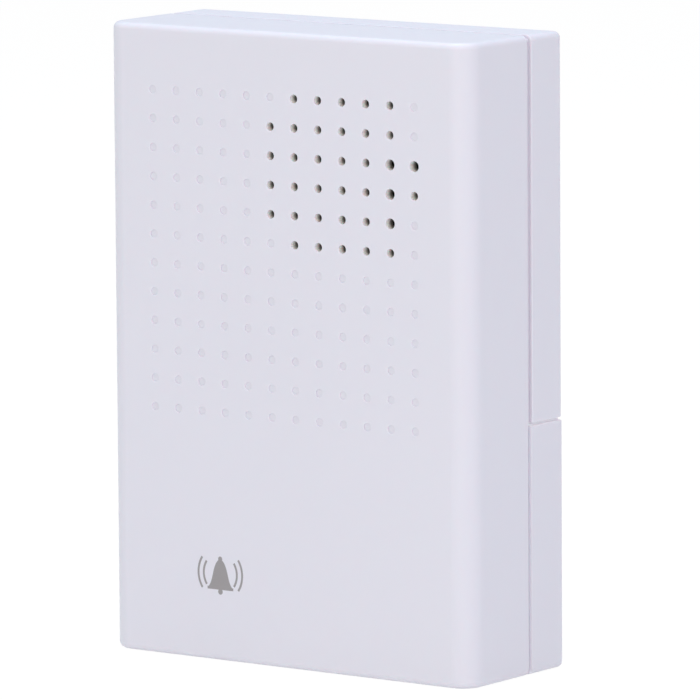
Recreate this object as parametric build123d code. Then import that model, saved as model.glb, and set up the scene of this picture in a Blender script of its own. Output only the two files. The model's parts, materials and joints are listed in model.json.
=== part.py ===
from build123d import *
import math
import os

# Indoor loudspeaker chime of a wired doorbell, in millimetres.
# X runs to the right seen from the front, Y to the rear and Z up.
# The origin is the middle of the base. Depths are measured back from the front face.

# Closed case
WIDTH = 83.6
DEPTH = 30.9
HEIGHT = 120.0
COVER_DEPTH = 19.4
FRONT_WALL = 2.2
SIDE_WALL = 1.6
BACK_WALL = 1.8
FRONT_CORNER_RADIUS = 4.4
EDGE_RADIUS = 1.25
REAR_RADIUS = 1.15
EDGE_BREAK = 0.25
COVER_EDGE_BREAK = 0.12

# Groove between the front cover and what lies behind it
GROOVE_INSET = 0.6
UPPER_GROOVE = 1.3
DOOR_GROOVE = 0.95
TONGUE_LENGTH = 2.0
TONGUE_WALL = 1.5
TONGUE_GAP = 0.15
TONGUE_CORNER = 0.5

# Grid of sound holes and dimples in the front
GRID_COUNT = 12
GRID_PITCH = 5.48
GRID_SHIFT = -0.33
GRID_TOP = 12.24
SOUND_HOLE_DIAMETER = 1.6
WIDE_HOLE_DIAMETER = 2.0
WIDE_HOLES = ((2, 10), (2, 11), (3, 10), (4, 10))
DIMPLE_DIAMETER = 1.5
DIMPLE_DEPTH = 0.18
SOUND_FIELD_RADIUS = 18.4
HOLE_LIP = 0.15

# Loudspeaker, whose axis runs from front to back
SPEAKER_COLUMN = 8
SPEAKER_ROW = 2.5
SPEAKER_SHIFT = -0.3
SPEAKER_DIAMETER = 40.0
SPEAKER_GAP = 0.25
SPEAKER_RING_WALL = 1.0
GASKET_THICKNESS = 1.0
PAPER = 0.25
BASKET_SHEET = 0.8
BASKET_DEPTH = 6.5
COIL_RADIUS = 6.2
COIL_FORMER_WALL = 0.3
COIL_WINDING_WALL = 0.35
COIL_GAP = 0.35
TOP_PLATE_THICKNESS = 1.2
MAGNET_THICKNESS = 4.0
MAGNET_RADIUS = 11.0
YOKE_THICKNESS = 1.4
CLAMP_ANGLES = (60, 180, 300)
CLAMP_SCREW_RADIUS = 0.95
CLAMP_WASHER_RADIUS = 3.0
CLAMP_WASHER_THICKNESS = 0.5
CLAMP_OVERLAP = 1.1
CLAMP_HEAD_HEIGHT = 1.2

# Cells, tray and lower rear cover
CELL_COUNT = 3
CELL_DIAMETER = 14.2
CELL_LENGTH = 50.5
CELL_NUB_DIAMETER = 5.4
CELL_NUB_LENGTH = 1.2
CELL_SPACING = 0.4
CELL_REAR_GAP = 0.3
CELL_FLOOR_GAP = 0.7
CRADLE_GAP = 0.15
CRADLE_RIB_WIDTH = 1.2
CRADLE_PLACES = (0.25, 0.5, 0.75)
SLEEVE_THICKNESS = 0.15
TRAY_WALL = 1.4
TRAY_SIDE_GAP = 1.4
TRAY_BASE_GAP = 0.75
TRAY_REAR_GAP = 1.1
LEDGE_WALL = 1.55
DOOR_WALL = 1.6
DOOR_GAP = 0.55
DOOR_SEAT_GAP = 0.1
DOOR_LIP_INSET = 0.7
DOOR_LIP_GAP = 0.1
DOOR_REAR_RADIUS = 0.8
DOOR_RIB_GAP = 0.1
DOOR_RIB_WIDTH = 1.2
DOOR_RIB_COUNT = 3
GRIP_WIDTH = 24.0
GRIP_HEIGHT = 9.0
GRIP_DEPTH = 0.6
GRIP_RIB_COUNT = 5

# Contacts
CONTACT_SHEET = 0.4
CONTACT_BUMP = 0.6
CONTACT_BUMP_RADIUS = 1.9
CONTACT_TAB_WIDTH = 2.2
CONTACT_PLAY = 0.1
SPRING_LENGTH = 4.6
SPRING_WIRE = 0.65
SPRING_BASE_RADIUS = 4.8
SPRING_TIP_RADIUS = 2.2
SPRING_TURNS = 3
GUIDE_POST_WIDTH = 1.4
GUIDE_POST_DEPTH = 1.1
GUIDE_GAP = 0.1

# Screws that close the case
CASE_SCREW_RADIUS = 1.25
CASE_SCREW_LENGTH = 12.0
CASE_HEAD_RADIUS = 2.7
CASE_HEAD_HEIGHT = 1.9
BOSS_RADIUS = 3.5
BOSS_GAP = 0.3
BOSS_WEB_WIDTH = 1.0
PILOT_SPARE = 1.5
WELL_RADIUS = 4.5
WELL_SEAT = 1.8
WELL_BACK = 10.2
SCREW_CLEARANCE = 0.4
THREAD_CLEARANCE = 0.05

# Circuit board and what is on it
BOARD_WIDTH = 62.0
BOARD_HEIGHT = 36.0
BOARD_THICKNESS = 1.6
BOARD_BASE_GAP = 4.4
BOARD_TRAY_GAP = 1.8
BOARD_SCREW_INSET = 3.0
BOARD_SCREW_RADIUS = 0.95
BOARD_HEAD_RADIUS = 1.9
BOARD_HEAD_HEIGHT = 1.2
BOARD_BOSS_RADIUS = 2.2
BOARD_SIDE_GAP = 2.5
TERMINAL_WAYS = 4
TERMINAL_PITCH = 5.08
TERMINAL_WIDTH = 6.8
TERMINAL_HEIGHT = 10.0
TERMINAL_GAP = 0.4
TERMINAL_OFFSET = 0.7
LEAD_DIAMETER = 1.1
SOLDER_RADIUS = 1.2
SOLDER_HEIGHT = 1.5

# Openings in the back
KEYHOLE_SPACING = 44.0
KEYHOLE_DROP = 23.0
KEYHOLE_RADIUS = 4.0
KEYHOLE_SLOT_WIDTH = 4.0
KEYHOLE_SLOT_LENGTH = 6.5
CABLE_NOTCH_WIDTH = 8.0
CABLE_NOTCH_HEIGHT = 9.0
CABLE_NOTCH_DEPTH = 9.8
LABEL_WIDTH = 36.0
LABEL_HEIGHT = 18.0
LABEL_DEPTH = 0.3

# Planes and places that follow from the sizes above
OVERLAP = 0.5
HALF_WIDTH = WIDTH / 2
COVER_INSIDE = HALF_WIDTH - SIDE_WALL
UPPER_FRONT = COVER_DEPTH + UPPER_GROOVE
DOOR_FRONT = COVER_DEPTH + DOOR_GROOVE
DOOR_INSIDE_BACK = DEPTH - DOOR_WALL
BACK_INSIDE = DEPTH - BACK_WALL
TONGUE_HALF = COVER_INSIDE - TONGUE_GAP
TONGUE_INSIDE = TONGUE_HALF - TONGUE_WALL
TONGUE_FRONT = COVER_DEPTH - TONGUE_LENGTH

CELL_RADIUS = CELL_DIAMETER / 2
CELL_PITCH = CELL_DIAMETER + CELL_SPACING
CELL_AXIS = DOOR_INSIDE_BACK - CELL_REAR_GAP - CELL_RADIUS
TRAY_FLOOR = CELL_AXIS - CELL_RADIUS - CELL_FLOOR_GAP
TRAY_FRONT = TRAY_FLOOR - TRAY_WALL
TRAY_BACK = DOOR_INSIDE_BACK - TRAY_REAR_GAP
TRAY_HALF = HALF_WIDTH - DOOR_WALL - TRAY_SIDE_GAP
TRAY_BASE = DOOR_WALL + TRAY_BASE_GAP
BAY_BASE = TRAY_BASE + TRAY_WALL
BAY_TOP = BAY_BASE + CELL_COUNT * CELL_PITCH
BAY_LEFT = -TRAY_HALF + TRAY_WALL
END_ROOM = 2 * CONTACT_SHEET + CONTACT_BUMP + CONTACT_PLAY + SPRING_LENGTH
BAY_RIGHT = BAY_LEFT + CELL_LENGTH + END_ROOM
PARTITION_RIGHT = BAY_RIGHT + TRAY_WALL
TERMINAL_BAY_RIGHT = TRAY_HALF - TRAY_WALL
LEDGE_TOP = BAY_TOP + LEDGE_WALL
DOOR_HEIGHT = BAY_TOP - DOOR_GAP

SCREW_INSET = SIDE_WALL + TONGUE_GAP + TONGUE_WALL + BOSS_GAP + BOSS_RADIUS
SCREW_X = HALF_WIDTH - SCREW_INSET
SCREW_HEIGHTS = (LEDGE_TOP + WELL_RADIUS + BOSS_GAP, HEIGHT - SCREW_INSET)
WELL_SEAT_BACK = DEPTH - WELL_BACK
WELL_SEAT_FRONT = WELL_SEAT_BACK - WELL_SEAT
CASE_SCREWS = [(x, z) for x in (-SCREW_X, SCREW_X) for z in SCREW_HEIGHTS]

SPEAKER_RADIUS = SPEAKER_DIAMETER / 2
SPEAKER_X = GRID_SHIFT + (SPEAKER_COLUMN - (GRID_COUNT - 1) / 2) * GRID_PITCH + SPEAKER_SHIFT
SPEAKER_Z = HEIGHT - GRID_TOP - SPEAKER_ROW * GRID_PITCH
FLANGE_FRONT = FRONT_WALL + GASKET_THICKNESS + PAPER
FLANGE_BACK = FLANGE_FRONT + BASKET_SHEET
SHELF_BACK = FLANGE_FRONT + BASKET_DEPTH
SHELF_FRONT = SHELF_BACK - BASKET_SHEET
TOP_PLATE_BACK = SHELF_BACK + TOP_PLATE_THICKNESS
MAGNET_BACK = TOP_PLATE_BACK + MAGNET_THICKNESS
CLAMP_RADIUS = SPEAKER_RADIUS + CLAMP_WASHER_RADIUS - CLAMP_OVERLAP
CLAMP_PLACES = [
    (SPEAKER_X + CLAMP_RADIUS * math.cos(a), SPEAKER_Z + CLAMP_RADIUS * math.sin(a))
    for a in map(math.radians, CLAMP_ANGLES)
]

BOARD_BACK = TRAY_FRONT - BOARD_TRAY_GAP
BOARD_FRONT = BOARD_BACK - BOARD_THICKNESS
BOARD_BASE = SIDE_WALL + BOARD_BASE_GAP
BOARD_TOP = BOARD_BASE + BOARD_HEIGHT
TERMINAL_LEFT = PARTITION_RIGHT + TERMINAL_OFFSET
TERMINAL_RIGHT = TERMINAL_LEFT + TERMINAL_WIDTH
TERMINAL_MIDDLE = (BAY_BASE + BAY_TOP) / 2
TERMINAL_LENGTH = TERMINAL_WAYS * TERMINAL_PITCH
TERMINAL_BACK = BOARD_BACK + TERMINAL_HEIGHT
TERMINAL_BASE = TERMINAL_MIDDLE - TERMINAL_LENGTH / 2
TERMINAL_PLACES = [TERMINAL_BASE + (i + 0.5) * TERMINAL_PITCH for i in range(TERMINAL_WAYS)]
BOARD_RIGHT = COVER_INSIDE - BOARD_SIDE_GAP
BOARD_LEFT = BOARD_RIGHT - BOARD_WIDTH
BOARD_SCREWS = [
    (x, z)
    for x in (BOARD_LEFT + BOARD_SCREW_INSET, BOARD_RIGHT - BOARD_SCREW_INSET)
    for z in (BOARD_BASE + BOARD_SCREW_INSET, BOARD_TOP - BOARD_SCREW_INSET)
]
LEAD_RADIUS = LEAD_DIAMETER / 2
LEAD_DEPTH = (BOARD_BACK + TRAY_FRONT) / 2

KEYHOLE_Z = HEIGHT - KEYHOLE_DROP
CABLE_X = (TERMINAL_RIGHT + PARTITION_RIGHT) / 2


def y_at(depth):
    """Y of the plane that lies this far behind the front face."""
    return depth - DEPTH / 2


def block(across, depths, heights):
    """Box between two values of X, two depths and two heights."""
    middle = [(across[0] + across[1]) / 2, y_at((depths[0] + depths[1]) / 2), (heights[0] + heights[1]) / 2]
    size = [across[1] - across[0], depths[1] - depths[0], heights[1] - heights[0]]
    return Pos(*middle) * Box(*size)


def rod_back(x, z, radius, depths):
    """Round rod along the depth, between two depths."""
    middle = Pos(x, y_at((depths[0] + depths[1]) / 2), z)
    return middle * Rot(90, 0, 0) * Cylinder(radius, depths[1] - depths[0])


def rod_across(depth, z, radius, across):
    """Round rod from left to right, between two values of X."""
    middle = Pos((across[0] + across[1]) / 2, y_at(depth), z)
    return middle * Rot(0, 90, 0) * Cylinder(radius, across[1] - across[0])


def slab(half_width, heights, corner, depths):
    """Plate with rounded corners seen from the front, between two depths."""
    outline = RectangleRounded(2 * half_width, heights[1] - heights[0], corner)
    middle = Pos(0, y_at((depths[0] + depths[1]) / 2), (heights[0] + heights[1]) / 2)
    return middle * Rot(90, 0, 0) * extrude(outline, (depths[1] - depths[0]) / 2, both=True)


def turned(outline, x, z):
    """Solid of revolution about a line along the depth, from (radius, depth) corners."""
    face = make_face(Polyline(*outline, close=True))
    return Pos(x, y_at(0), z) * revolve(face, axis=Axis.Y)


def edges_at_height(shape, height):
    """Edges of a shape that lie wholly in the plane at this height."""
    return shape.edges().filter_by(lambda e: all(abs(v.Z - height) < 0.001 for v in e.vertices()))


def group(solids):
    """Several separate solids that share one node."""
    return Compound(children=[solid for piece in solids for solid in piece.solids()])


def edges_at_depth(shape, depth):
    """Edges of a shape that lie wholly in the plane at this depth."""
    plane = y_at(depth)
    return shape.edges().filter_by(lambda e: all(abs(v.Y - plane) < 0.001 for v in e.vertices()))


def pan_screw(head_radius, head_height, shank_radius, length):
    """Pan-head screw with a cross recess: the head bears at Y 0 and the shank runs towards -Y."""
    tip = 1.2 * shank_radius
    outline = Polyline(
        (0, -length),
        (0.3 * shank_radius, -length),
        (shank_radius, tip - length),
        (shank_radius, 0),
        (head_radius, 0),
        (head_radius, 0.4 * head_height),
    )
    crown = ThreePointArc(
        (head_radius, 0.4 * head_height), (0.7 * head_radius, 0.86 * head_height), (0, head_height)
    )
    axis_line = Line((0, head_height), (0, -length))
    solid = revolve(make_face(outline + crown + axis_line), axis=Axis.Y)
    arm = (1.1 * head_radius, 1.2 * head_height, 0.24 * head_radius)
    recess = Pos(0, head_height, 0) * (Box(*arm) + Rot(0, 90, 0) * Box(*arm))
    return solid - recess


def grid_places():
    """Row, column, X and Z of every mark on the front."""
    for row in range(GRID_COUNT):
        for column in range(GRID_COUNT):
            x = GRID_SHIFT + (column - (GRID_COUNT - 1) / 2) * GRID_PITCH
            yield row, column, x, HEIGHT - GRID_TOP - row * GRID_PITCH


def lipped_drill(x, z, diameter, depth):
    """Drill from the front whose mouth flares out in a small round lip."""
    radius = diameter / 2
    flare = ThreePointArc(
        (radius + HOLE_LIP, 0),
        (radius + 0.29 * HOLE_LIP, 0.29 * HOLE_LIP),
        (radius, HOLE_LIP),
    )
    walls = Polyline(
        (radius, HOLE_LIP),
        (radius, depth),
        (0, depth),
        (0, -OVERLAP),
        (radius + HOLE_LIP, -OVERLAP),
        (radius + HOLE_LIP, 0),
    )
    return Pos(x, y_at(0), z) * revolve(make_face(flare + walls), axis=Axis.Y)


def grid_cutters():
    """Drills for the sound holes before the loudspeaker and for the dimples round them."""
    cutters = []
    for row, column, x, z in grid_places():
        if math.hypot(x - SPEAKER_X, z - SPEAKER_Z) <= SOUND_FIELD_RADIUS:
            diameter = WIDE_HOLE_DIAMETER if (row, column) in WIDE_HOLES else SOUND_HOLE_DIAMETER
            cutters.append(lipped_drill(x, z, diameter, FRONT_WALL + OVERLAP))
        else:
            cutters.append(lipped_drill(x, z, DIMPLE_DIAMETER, DIMPLE_DEPTH))
    return cutters


def upright_shell(depths, heights, corner_radius, front):
    """Upright block whose front or rear corners are rounded seen from above."""
    plan = Pos(0, y_at((depths[0] + depths[1]) / 2)) * Rectangle(WIDTH, depths[1] - depths[0])
    corners = plan.vertices().sort_by(Axis.Y)
    plan = fillet(corners[:2] if front else corners[2:], corner_radius)
    return Pos(0, 0, heights[0]) * extrude(plan, heights[1] - heights[0])


def make_front_cover():
    outer = upright_shell((0, COVER_DEPTH), (0, HEIGHT), FRONT_CORNER_RADIUS, True)
    rim = [
        edge
        for face in (outer.faces().sort_by(Axis.Z)[0], outer.faces().sort_by(Axis.Z)[-1])
        for edge in face.edges()
        if edge.center().Y < y_at(COVER_DEPTH) - 0.01
    ]
    outer = fillet(rim, EDGE_RADIUS)
    outer = fillet(edges_at_depth(outer, COVER_DEPTH), COVER_EDGE_BREAK)
    depths = (FRONT_WALL, COVER_DEPTH + OVERLAP)
    plan = Pos(0, y_at(sum(depths) / 2)) * Rectangle(2 * COVER_INSIDE, depths[1] - depths[0])
    plan = fillet(plan.vertices().sort_by(Axis.Y)[:2], FRONT_CORNER_RADIUS - SIDE_WALL)
    cavity = Pos(0, 0, SIDE_WALL) * extrude(plan, HEIGHT - 2 * SIDE_WALL)
    cover = outer - cavity

    boss_root = FRONT_WALL - OVERLAP
    boss_back = WELL_SEAT_FRONT - TONGUE_GAP
    additions = []
    for x, z in CASE_SCREWS:
        additions.append(rod_back(x, z, BOSS_RADIUS, (boss_root, boss_back)))
        side = 1 if x > 0 else -1
        web = sorted((x, side * (COVER_INSIDE + OVERLAP)))
        web_heights = (z - BOSS_WEB_WIDTH / 2, z + BOSS_WEB_WIDTH / 2)
        additions.append(block(web, (FRONT_CORNER_RADIUS, TONGUE_FRONT - BOSS_GAP), web_heights))
    for x, z in BOARD_SCREWS:
        additions.append(rod_back(x, z, BOARD_BOSS_RADIUS, (boss_root, BOARD_FRONT)))
    ring_radius = SPEAKER_RADIUS + SPEAKER_GAP
    ring_depths = (boss_root, FLANGE_BACK - SPEAKER_GAP)
    additions.append(rod_back(SPEAKER_X, SPEAKER_Z, ring_radius + SPEAKER_RING_WALL, ring_depths))
    for x, z in CLAMP_PLACES:
        additions.append(rod_back(x, z, 2 * CLAMP_SCREW_RADIUS, (boss_root, FLANGE_BACK)))
    cover = cover + additions

    pilot = CASE_SCREW_RADIUS + THREAD_CLEARANCE
    pilot_front = WELL_SEAT_BACK - CASE_SCREW_LENGTH - PILOT_SPARE
    cutters = [rod_back(SPEAKER_X, SPEAKER_Z, ring_radius, (FRONT_WALL, FLANGE_BACK + OVERLAP))]
    cutters += [rod_back(x, z, pilot, (pilot_front, boss_back + OVERLAP)) for x, z in CASE_SCREWS]
    board_pilot = BOARD_SCREW_RADIUS + THREAD_CLEARANCE
    depths = (FRONT_WALL + 0.5, BOARD_FRONT + OVERLAP)
    cutters += [rod_back(x, z, board_pilot, depths) for x, z in BOARD_SCREWS]
    clamp_pilot = CLAMP_SCREW_RADIUS + THREAD_CLEARANCE
    depths = (0.6 * FRONT_WALL, FLANGE_BACK + OVERLAP)
    cutters += [rod_back(x, z, clamp_pilot, depths) for x, z in CLAMP_PLACES]
    return cover - cutters - grid_cutters()


def rounded_rear(shell, low, high, rear_radius, far_end):
    """Round the edges that run along the depth at one end, then the rear rim."""
    corners = shell.edges().filter_by(Axis.Y).filter_by(lambda e: abs(e.center().Z - far_end) < 0.01)
    shell = fillet(corners, EDGE_RADIUS)
    near_end = low if far_end == high else high
    rim = edges_at_depth(shell, DEPTH).filter_by(lambda e: abs(e.center().Z - near_end) > 0.01)
    return fillet(rim, rear_radius)


def broken_edges(shell, front, seam):
    """Break the edges along the seam between the two rear covers, then those that face the groove."""
    behind = y_at(front) + 0.01
    shell = fillet(edges_at_height(shell, seam).filter_by(lambda e: e.center().Y > behind), EDGE_BREAK)
    rim = edges_at_depth(shell, front).filter_by(lambda e: abs(e.center().Z - seam) > 0.01)
    return fillet(rim, EDGE_BREAK)


def make_upper_box():
    """Upper rear box with its walls, before it is joined to the shoulder."""
    outer = block((-HALF_WIDTH, HALF_WIDTH), (UPPER_FRONT, DEPTH), (BAY_TOP, HEIGHT))
    outer = rounded_rear(outer, BAY_TOP, HEIGHT, REAR_RADIUS, HEIGHT)
    outer = broken_edges(outer, UPPER_FRONT, BAY_TOP)
    heights = (LEDGE_TOP, HEIGHT - SIDE_WALL)
    cavity = block((-COVER_INSIDE, COVER_INSIDE), (UPPER_FRONT - OVERLAP, BACK_INSIDE), heights)
    return outer - cavity


def make_shoulder():
    """Groove bottom and the tongue that slides into the front cover."""
    shoulder = slab(
        HALF_WIDTH - GROOVE_INSET,
        (GROOVE_INSET, HEIGHT - GROOVE_INSET),
        EDGE_RADIUS - GROOVE_INSET,
        (COVER_DEPTH, UPPER_FRONT + OVERLAP),
    )
    seat_back = DOOR_FRONT - DOOR_SEAT_GAP
    door_room = block((-WIDTH, WIDTH), (seat_back, DEPTH), (-OVERLAP, BAY_TOP))
    edge = SIDE_WALL + TONGUE_GAP
    tongue = slab(TONGUE_HALF, (edge, HEIGHT - edge), TONGUE_CORNER, (TONGUE_FRONT, COVER_DEPTH + OVERLAP))
    inner = (LEDGE_TOP, HEIGHT - edge - TONGUE_WALL)
    cavity = block((-TONGUE_INSIDE, TONGUE_INSIDE), (TONGUE_FRONT - OVERLAP, DEPTH), inner)
    return shoulder + tongue - door_room - cavity


def bay_cutters():
    """Room for the cells, room for the terminals and the window for the terminal block."""
    cells = block((BAY_LEFT, BAY_RIGHT), (TRAY_FLOOR, DEPTH + OVERLAP), (BAY_BASE, BAY_TOP))
    wires = block((PARTITION_RIGHT, TERMINAL_BAY_RIGHT), (TRAY_FLOOR, DEPTH + OVERLAP), (BAY_BASE, BAY_TOP))
    reach = TERMINAL_LENGTH / 2 + TERMINAL_GAP
    window = block(
        (TERMINAL_LEFT - TERMINAL_GAP, TERMINAL_RIGHT + TERMINAL_GAP),
        (TRAY_FRONT - OVERLAP, TRAY_FLOOR + OVERLAP),
        (TERMINAL_MIDDLE - reach, TERMINAL_MIDDLE + reach),
    )
    return [cells, wires, window]


def cell_height(index):
    """Height of a cell's axis, counted from the bottom."""
    return BAY_BASE + (index + 0.5) * CELL_PITCH


def make_cradles():
    """Three scalloped ribs that carry the cells, and the posts that trap the contact plates."""
    ribs = []
    top = CELL_AXIS - 0.45 * CELL_RADIUS
    half = CRADLE_RIB_WIDTH / 2
    for share in CRADLE_PLACES:
        x = BAY_LEFT + share * (BAY_RIGHT - BAY_LEFT)
        heights = (BAY_BASE - OVERLAP, BAY_TOP + OVERLAP)
        rib = block((x - half, x + half), (TRAY_FLOOR - OVERLAP, top), heights)
        for index in range(CELL_COUNT):
            rib -= rod_across(CELL_AXIS, cell_height(index), CELL_RADIUS + CRADLE_GAP, (x - 1, x + 1))
        ribs.append(rib)
    post_front = CONTACT_SHEET + GUIDE_GAP
    for index in range(CELL_COUNT + 1):
        z = BAY_BASE + index * CELL_PITCH
        low = max(z - GUIDE_POST_WIDTH / 2, BAY_BASE - OVERLAP)
        high = min(z + GUIDE_POST_WIDTH / 2, BAY_TOP + OVERLAP)
        for wall, side in ((BAY_LEFT, 1), (BAY_RIGHT, -1)):
            across = sorted((wall + side * post_front, wall + side * (post_front + GUIDE_POST_DEPTH)))
            post = block(across, (TRAY_FLOOR - OVERLAP, CELL_AXIS + 0.6 * CELL_RADIUS), (low, high))
            ribs.append(post)
    return ribs


def keyhole(x):
    """Round entry for a screw head with a slot above it for the shank."""
    depths = (BACK_INSIDE - OVERLAP, DEPTH + OVERLAP)
    entry = rod_back(x, KEYHOLE_Z, KEYHOLE_RADIUS, depths)
    top = KEYHOLE_Z + KEYHOLE_SLOT_LENGTH
    half = KEYHOLE_SLOT_WIDTH / 2
    slot = block((x - half, x + half), depths, (KEYHOLE_Z, top))
    return entry + slot + rod_back(x, top, half, depths)


def tab_slot(x0, x1, z, depths):
    """Slot that lets a contact's solder tab through, between two depths."""
    reach = CONTACT_TAB_WIDTH / 2 + GUIDE_GAP
    return block((x0 - GUIDE_GAP, x1 + GUIDE_GAP), depths, (z - reach, z + reach))


def make_rear_shell():
    tray = block((-TRAY_HALF, TRAY_HALF), (TRAY_FRONT, TRAY_BACK), (TRAY_BASE, LEDGE_TOP))
    shell = make_upper_box() + make_shoulder() + tray
    shell = shell - bay_cutters()
    wells = [rod_back(x, z, WELL_RADIUS, (WELL_SEAT_FRONT, BACK_INSIDE + OVERLAP)) for x, z in CASE_SCREWS]
    shell = shell + wells + make_cradles()

    head_room = CASE_HEAD_RADIUS + SCREW_CLEARANCE
    cutters = [rod_back(x, z, head_room, (WELL_SEAT_BACK, DEPTH + OVERLAP)) for x, z in CASE_SCREWS]
    shank_room = CASE_SCREW_RADIUS + SCREW_CLEARANCE
    cutters += [rod_back(x, z, shank_room, (WELL_SEAT_FRONT - OVERLAP, DEPTH)) for x, z in CASE_SCREWS]
    cutters += [keyhole(-KEYHOLE_SPACING / 2), keyhole(KEYHOLE_SPACING / 2)]
    half = CABLE_NOTCH_WIDTH / 2
    notch_depths = (DEPTH - CABLE_NOTCH_DEPTH, DEPTH + OVERLAP)
    notch_heights = (BAY_TOP - OVERLAP, BAY_TOP + CABLE_NOTCH_HEIGHT)
    cutters.append(block((CABLE_X - half, CABLE_X + half), notch_depths, notch_heights))
    label_middle = (LEDGE_TOP + KEYHOLE_Z) / 2
    label = (label_middle - LABEL_HEIGHT / 2, label_middle + LABEL_HEIGHT / 2)
    cutters.append(block((-LABEL_WIDTH / 2, LABEL_WIDTH / 2), (DEPTH - LABEL_DEPTH, DEPTH + OVERLAP), label))
    floor = (TRAY_FRONT - OVERLAP, TRAY_FLOOR + OVERLAP)
    cutters.append(tab_slot(BAY_RIGHT - CONTACT_SHEET, BAY_RIGHT, cell_height(CELL_COUNT - 1), floor))
    cutters.append(tab_slot(BAY_LEFT, BAY_LEFT + CONTACT_SHEET, cell_height(0), floor))
    return shell - cutters


def make_door_lip():
    """Low lip along the door's top rim, which stands in the seam and closes it to the light."""
    half = HALF_WIDTH - DOOR_LIP_INSET
    heights = (DOOR_HEIGHT - OVERLAP, BAY_TOP - DOOR_LIP_GAP)
    return block((-half, half), (DOOR_FRONT, DEPTH - DOOR_LIP_INSET), heights)


def make_battery_door():
    outer = block((-HALF_WIDTH, HALF_WIDTH), (DOOR_FRONT, DEPTH), (0, DOOR_HEIGHT))
    outer = rounded_rear(outer, 0, DOOR_HEIGHT, DOOR_REAR_RADIUS, 0)
    outer = broken_edges(outer, DOOR_FRONT, DOOR_HEIGHT)
    inside = HALF_WIDTH - DOOR_WALL
    heights = (DOOR_WALL, BAY_TOP)
    cavity = block((-inside, inside), (DOOR_FRONT - OVERLAP, DOOR_INSIDE_BACK), heights)
    door = outer + make_door_lip() - cavity
    ribs = []
    for index in range(DOOR_RIB_COUNT):
        z = DOOR_WALL + (index + 0.5) * (DOOR_HEIGHT - DOOR_WALL) / DOOR_RIB_COUNT
        for side in (-1, 1):
            across = sorted((side * (TRAY_HALF + DOOR_RIB_GAP), side * (inside + OVERLAP)))
            heights = (z - DOOR_RIB_WIDTH / 2, z + DOOR_RIB_WIDTH / 2)
            ribs.append(block(across, (DOOR_FRONT + OVERLAP, DOOR_INSIDE_BACK + OVERLAP), heights))
    door = door + ribs
    grip_low = 0.18 * DOOR_HEIGHT
    across = (-GRIP_WIDTH / 2, GRIP_WIDTH / 2)
    grip = block(across, (DEPTH - GRIP_DEPTH, DEPTH + OVERLAP), (grip_low, grip_low + GRIP_HEIGHT))
    step = GRIP_HEIGHT / GRIP_RIB_COUNT
    for index in range(GRIP_RIB_COUNT):
        z = grip_low + (index + 0.5) * step
        grip -= block(across, (DEPTH - GRIP_DEPTH, DEPTH), (z - 0.22 * step, z + 0.22 * step))
    return door - grip


def make_case_screws():
    screw = pan_screw(CASE_HEAD_RADIUS, CASE_HEAD_HEIGHT, CASE_SCREW_RADIUS, CASE_SCREW_LENGTH)
    return group([Pos(x, y_at(WELL_SEAT_BACK), z) * screw for x, z in CASE_SCREWS])


def speaker_part(outline):
    """Turned piece on the loudspeaker's axis, from (radius, depth) corners."""
    return turned(outline, SPEAKER_X, SPEAKER_Z)


def speaker_ring(inner, outer, front, back):
    """Plain ring on the loudspeaker's axis, between two radii and two depths."""
    return speaker_part([(inner, front), (outer, front), (outer, back), (inner, back)])


# Radii of the loudspeaker's pieces, from the rim inwards
RIM_INSIDE = SPEAKER_RADIUS - 2.4
CONE_OUTER = SPEAKER_RADIUS - 5.2
FORMER_OUTER = COIL_RADIUS + COIL_FORMER_WALL
WINDING_OUTER = FORMER_OUTER + COIL_WINDING_WALL
PLATE_BORE = WINDING_OUTER + COIL_GAP
POLE_RADIUS = COIL_RADIUS - COIL_GAP
SHELF_OUTER = 0.5 * (MAGNET_RADIUS + RIM_INSIDE)
CONE_BASE = SHELF_FRONT - 1.4
FORMER_BACK = TOP_PLATE_BACK + 1.2
GLUE_GAP = 0.05
SHELF_LIP = 0.6
SURROUND_INSET = 0.3
DUST_CAP_SET = 3.2
DUST_CAP_RISE = 1.6
SPIDER_WAVES = 3
SPIDER_WAVE_HEIGHT = 0.5
SPIDER_RIM = 2.0


def make_speaker_basket():
    """Pressed steel basket: flange, slanted wall with four windows, and the shelf on the top plate."""
    wall = BASKET_SHEET
    outline = [
        (RIM_INSIDE, FLANGE_FRONT),
        (SPEAKER_RADIUS, FLANGE_FRONT),
        (SPEAKER_RADIUS, FLANGE_BACK),
        (RIM_INSIDE + wall, FLANGE_BACK),
        (SHELF_OUTER + wall, SHELF_BACK),
        (PLATE_BORE + SHELF_LIP, SHELF_BACK),
        (PLATE_BORE + SHELF_LIP, SHELF_FRONT),
        (SHELF_OUTER, SHELF_FRONT),
        (RIM_INSIDE, FLANGE_BACK),
    ]
    basket = speaker_part(outline)
    window_depths = (FLANGE_BACK + 0.9, SHELF_FRONT - 0.5)
    middle = Pos(SPEAKER_X, y_at(sum(window_depths) / 2), SPEAKER_Z)
    window_size = (SPEAKER_RADIUS, window_depths[1] - window_depths[0], 0.8 * SHELF_OUTER)
    for angle in (45, 135, 225, 315):
        basket -= middle * Rot(0, angle, 0) * Pos(RIM_INSIDE, 0, 0) * Box(*window_size)
    return basket


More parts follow.
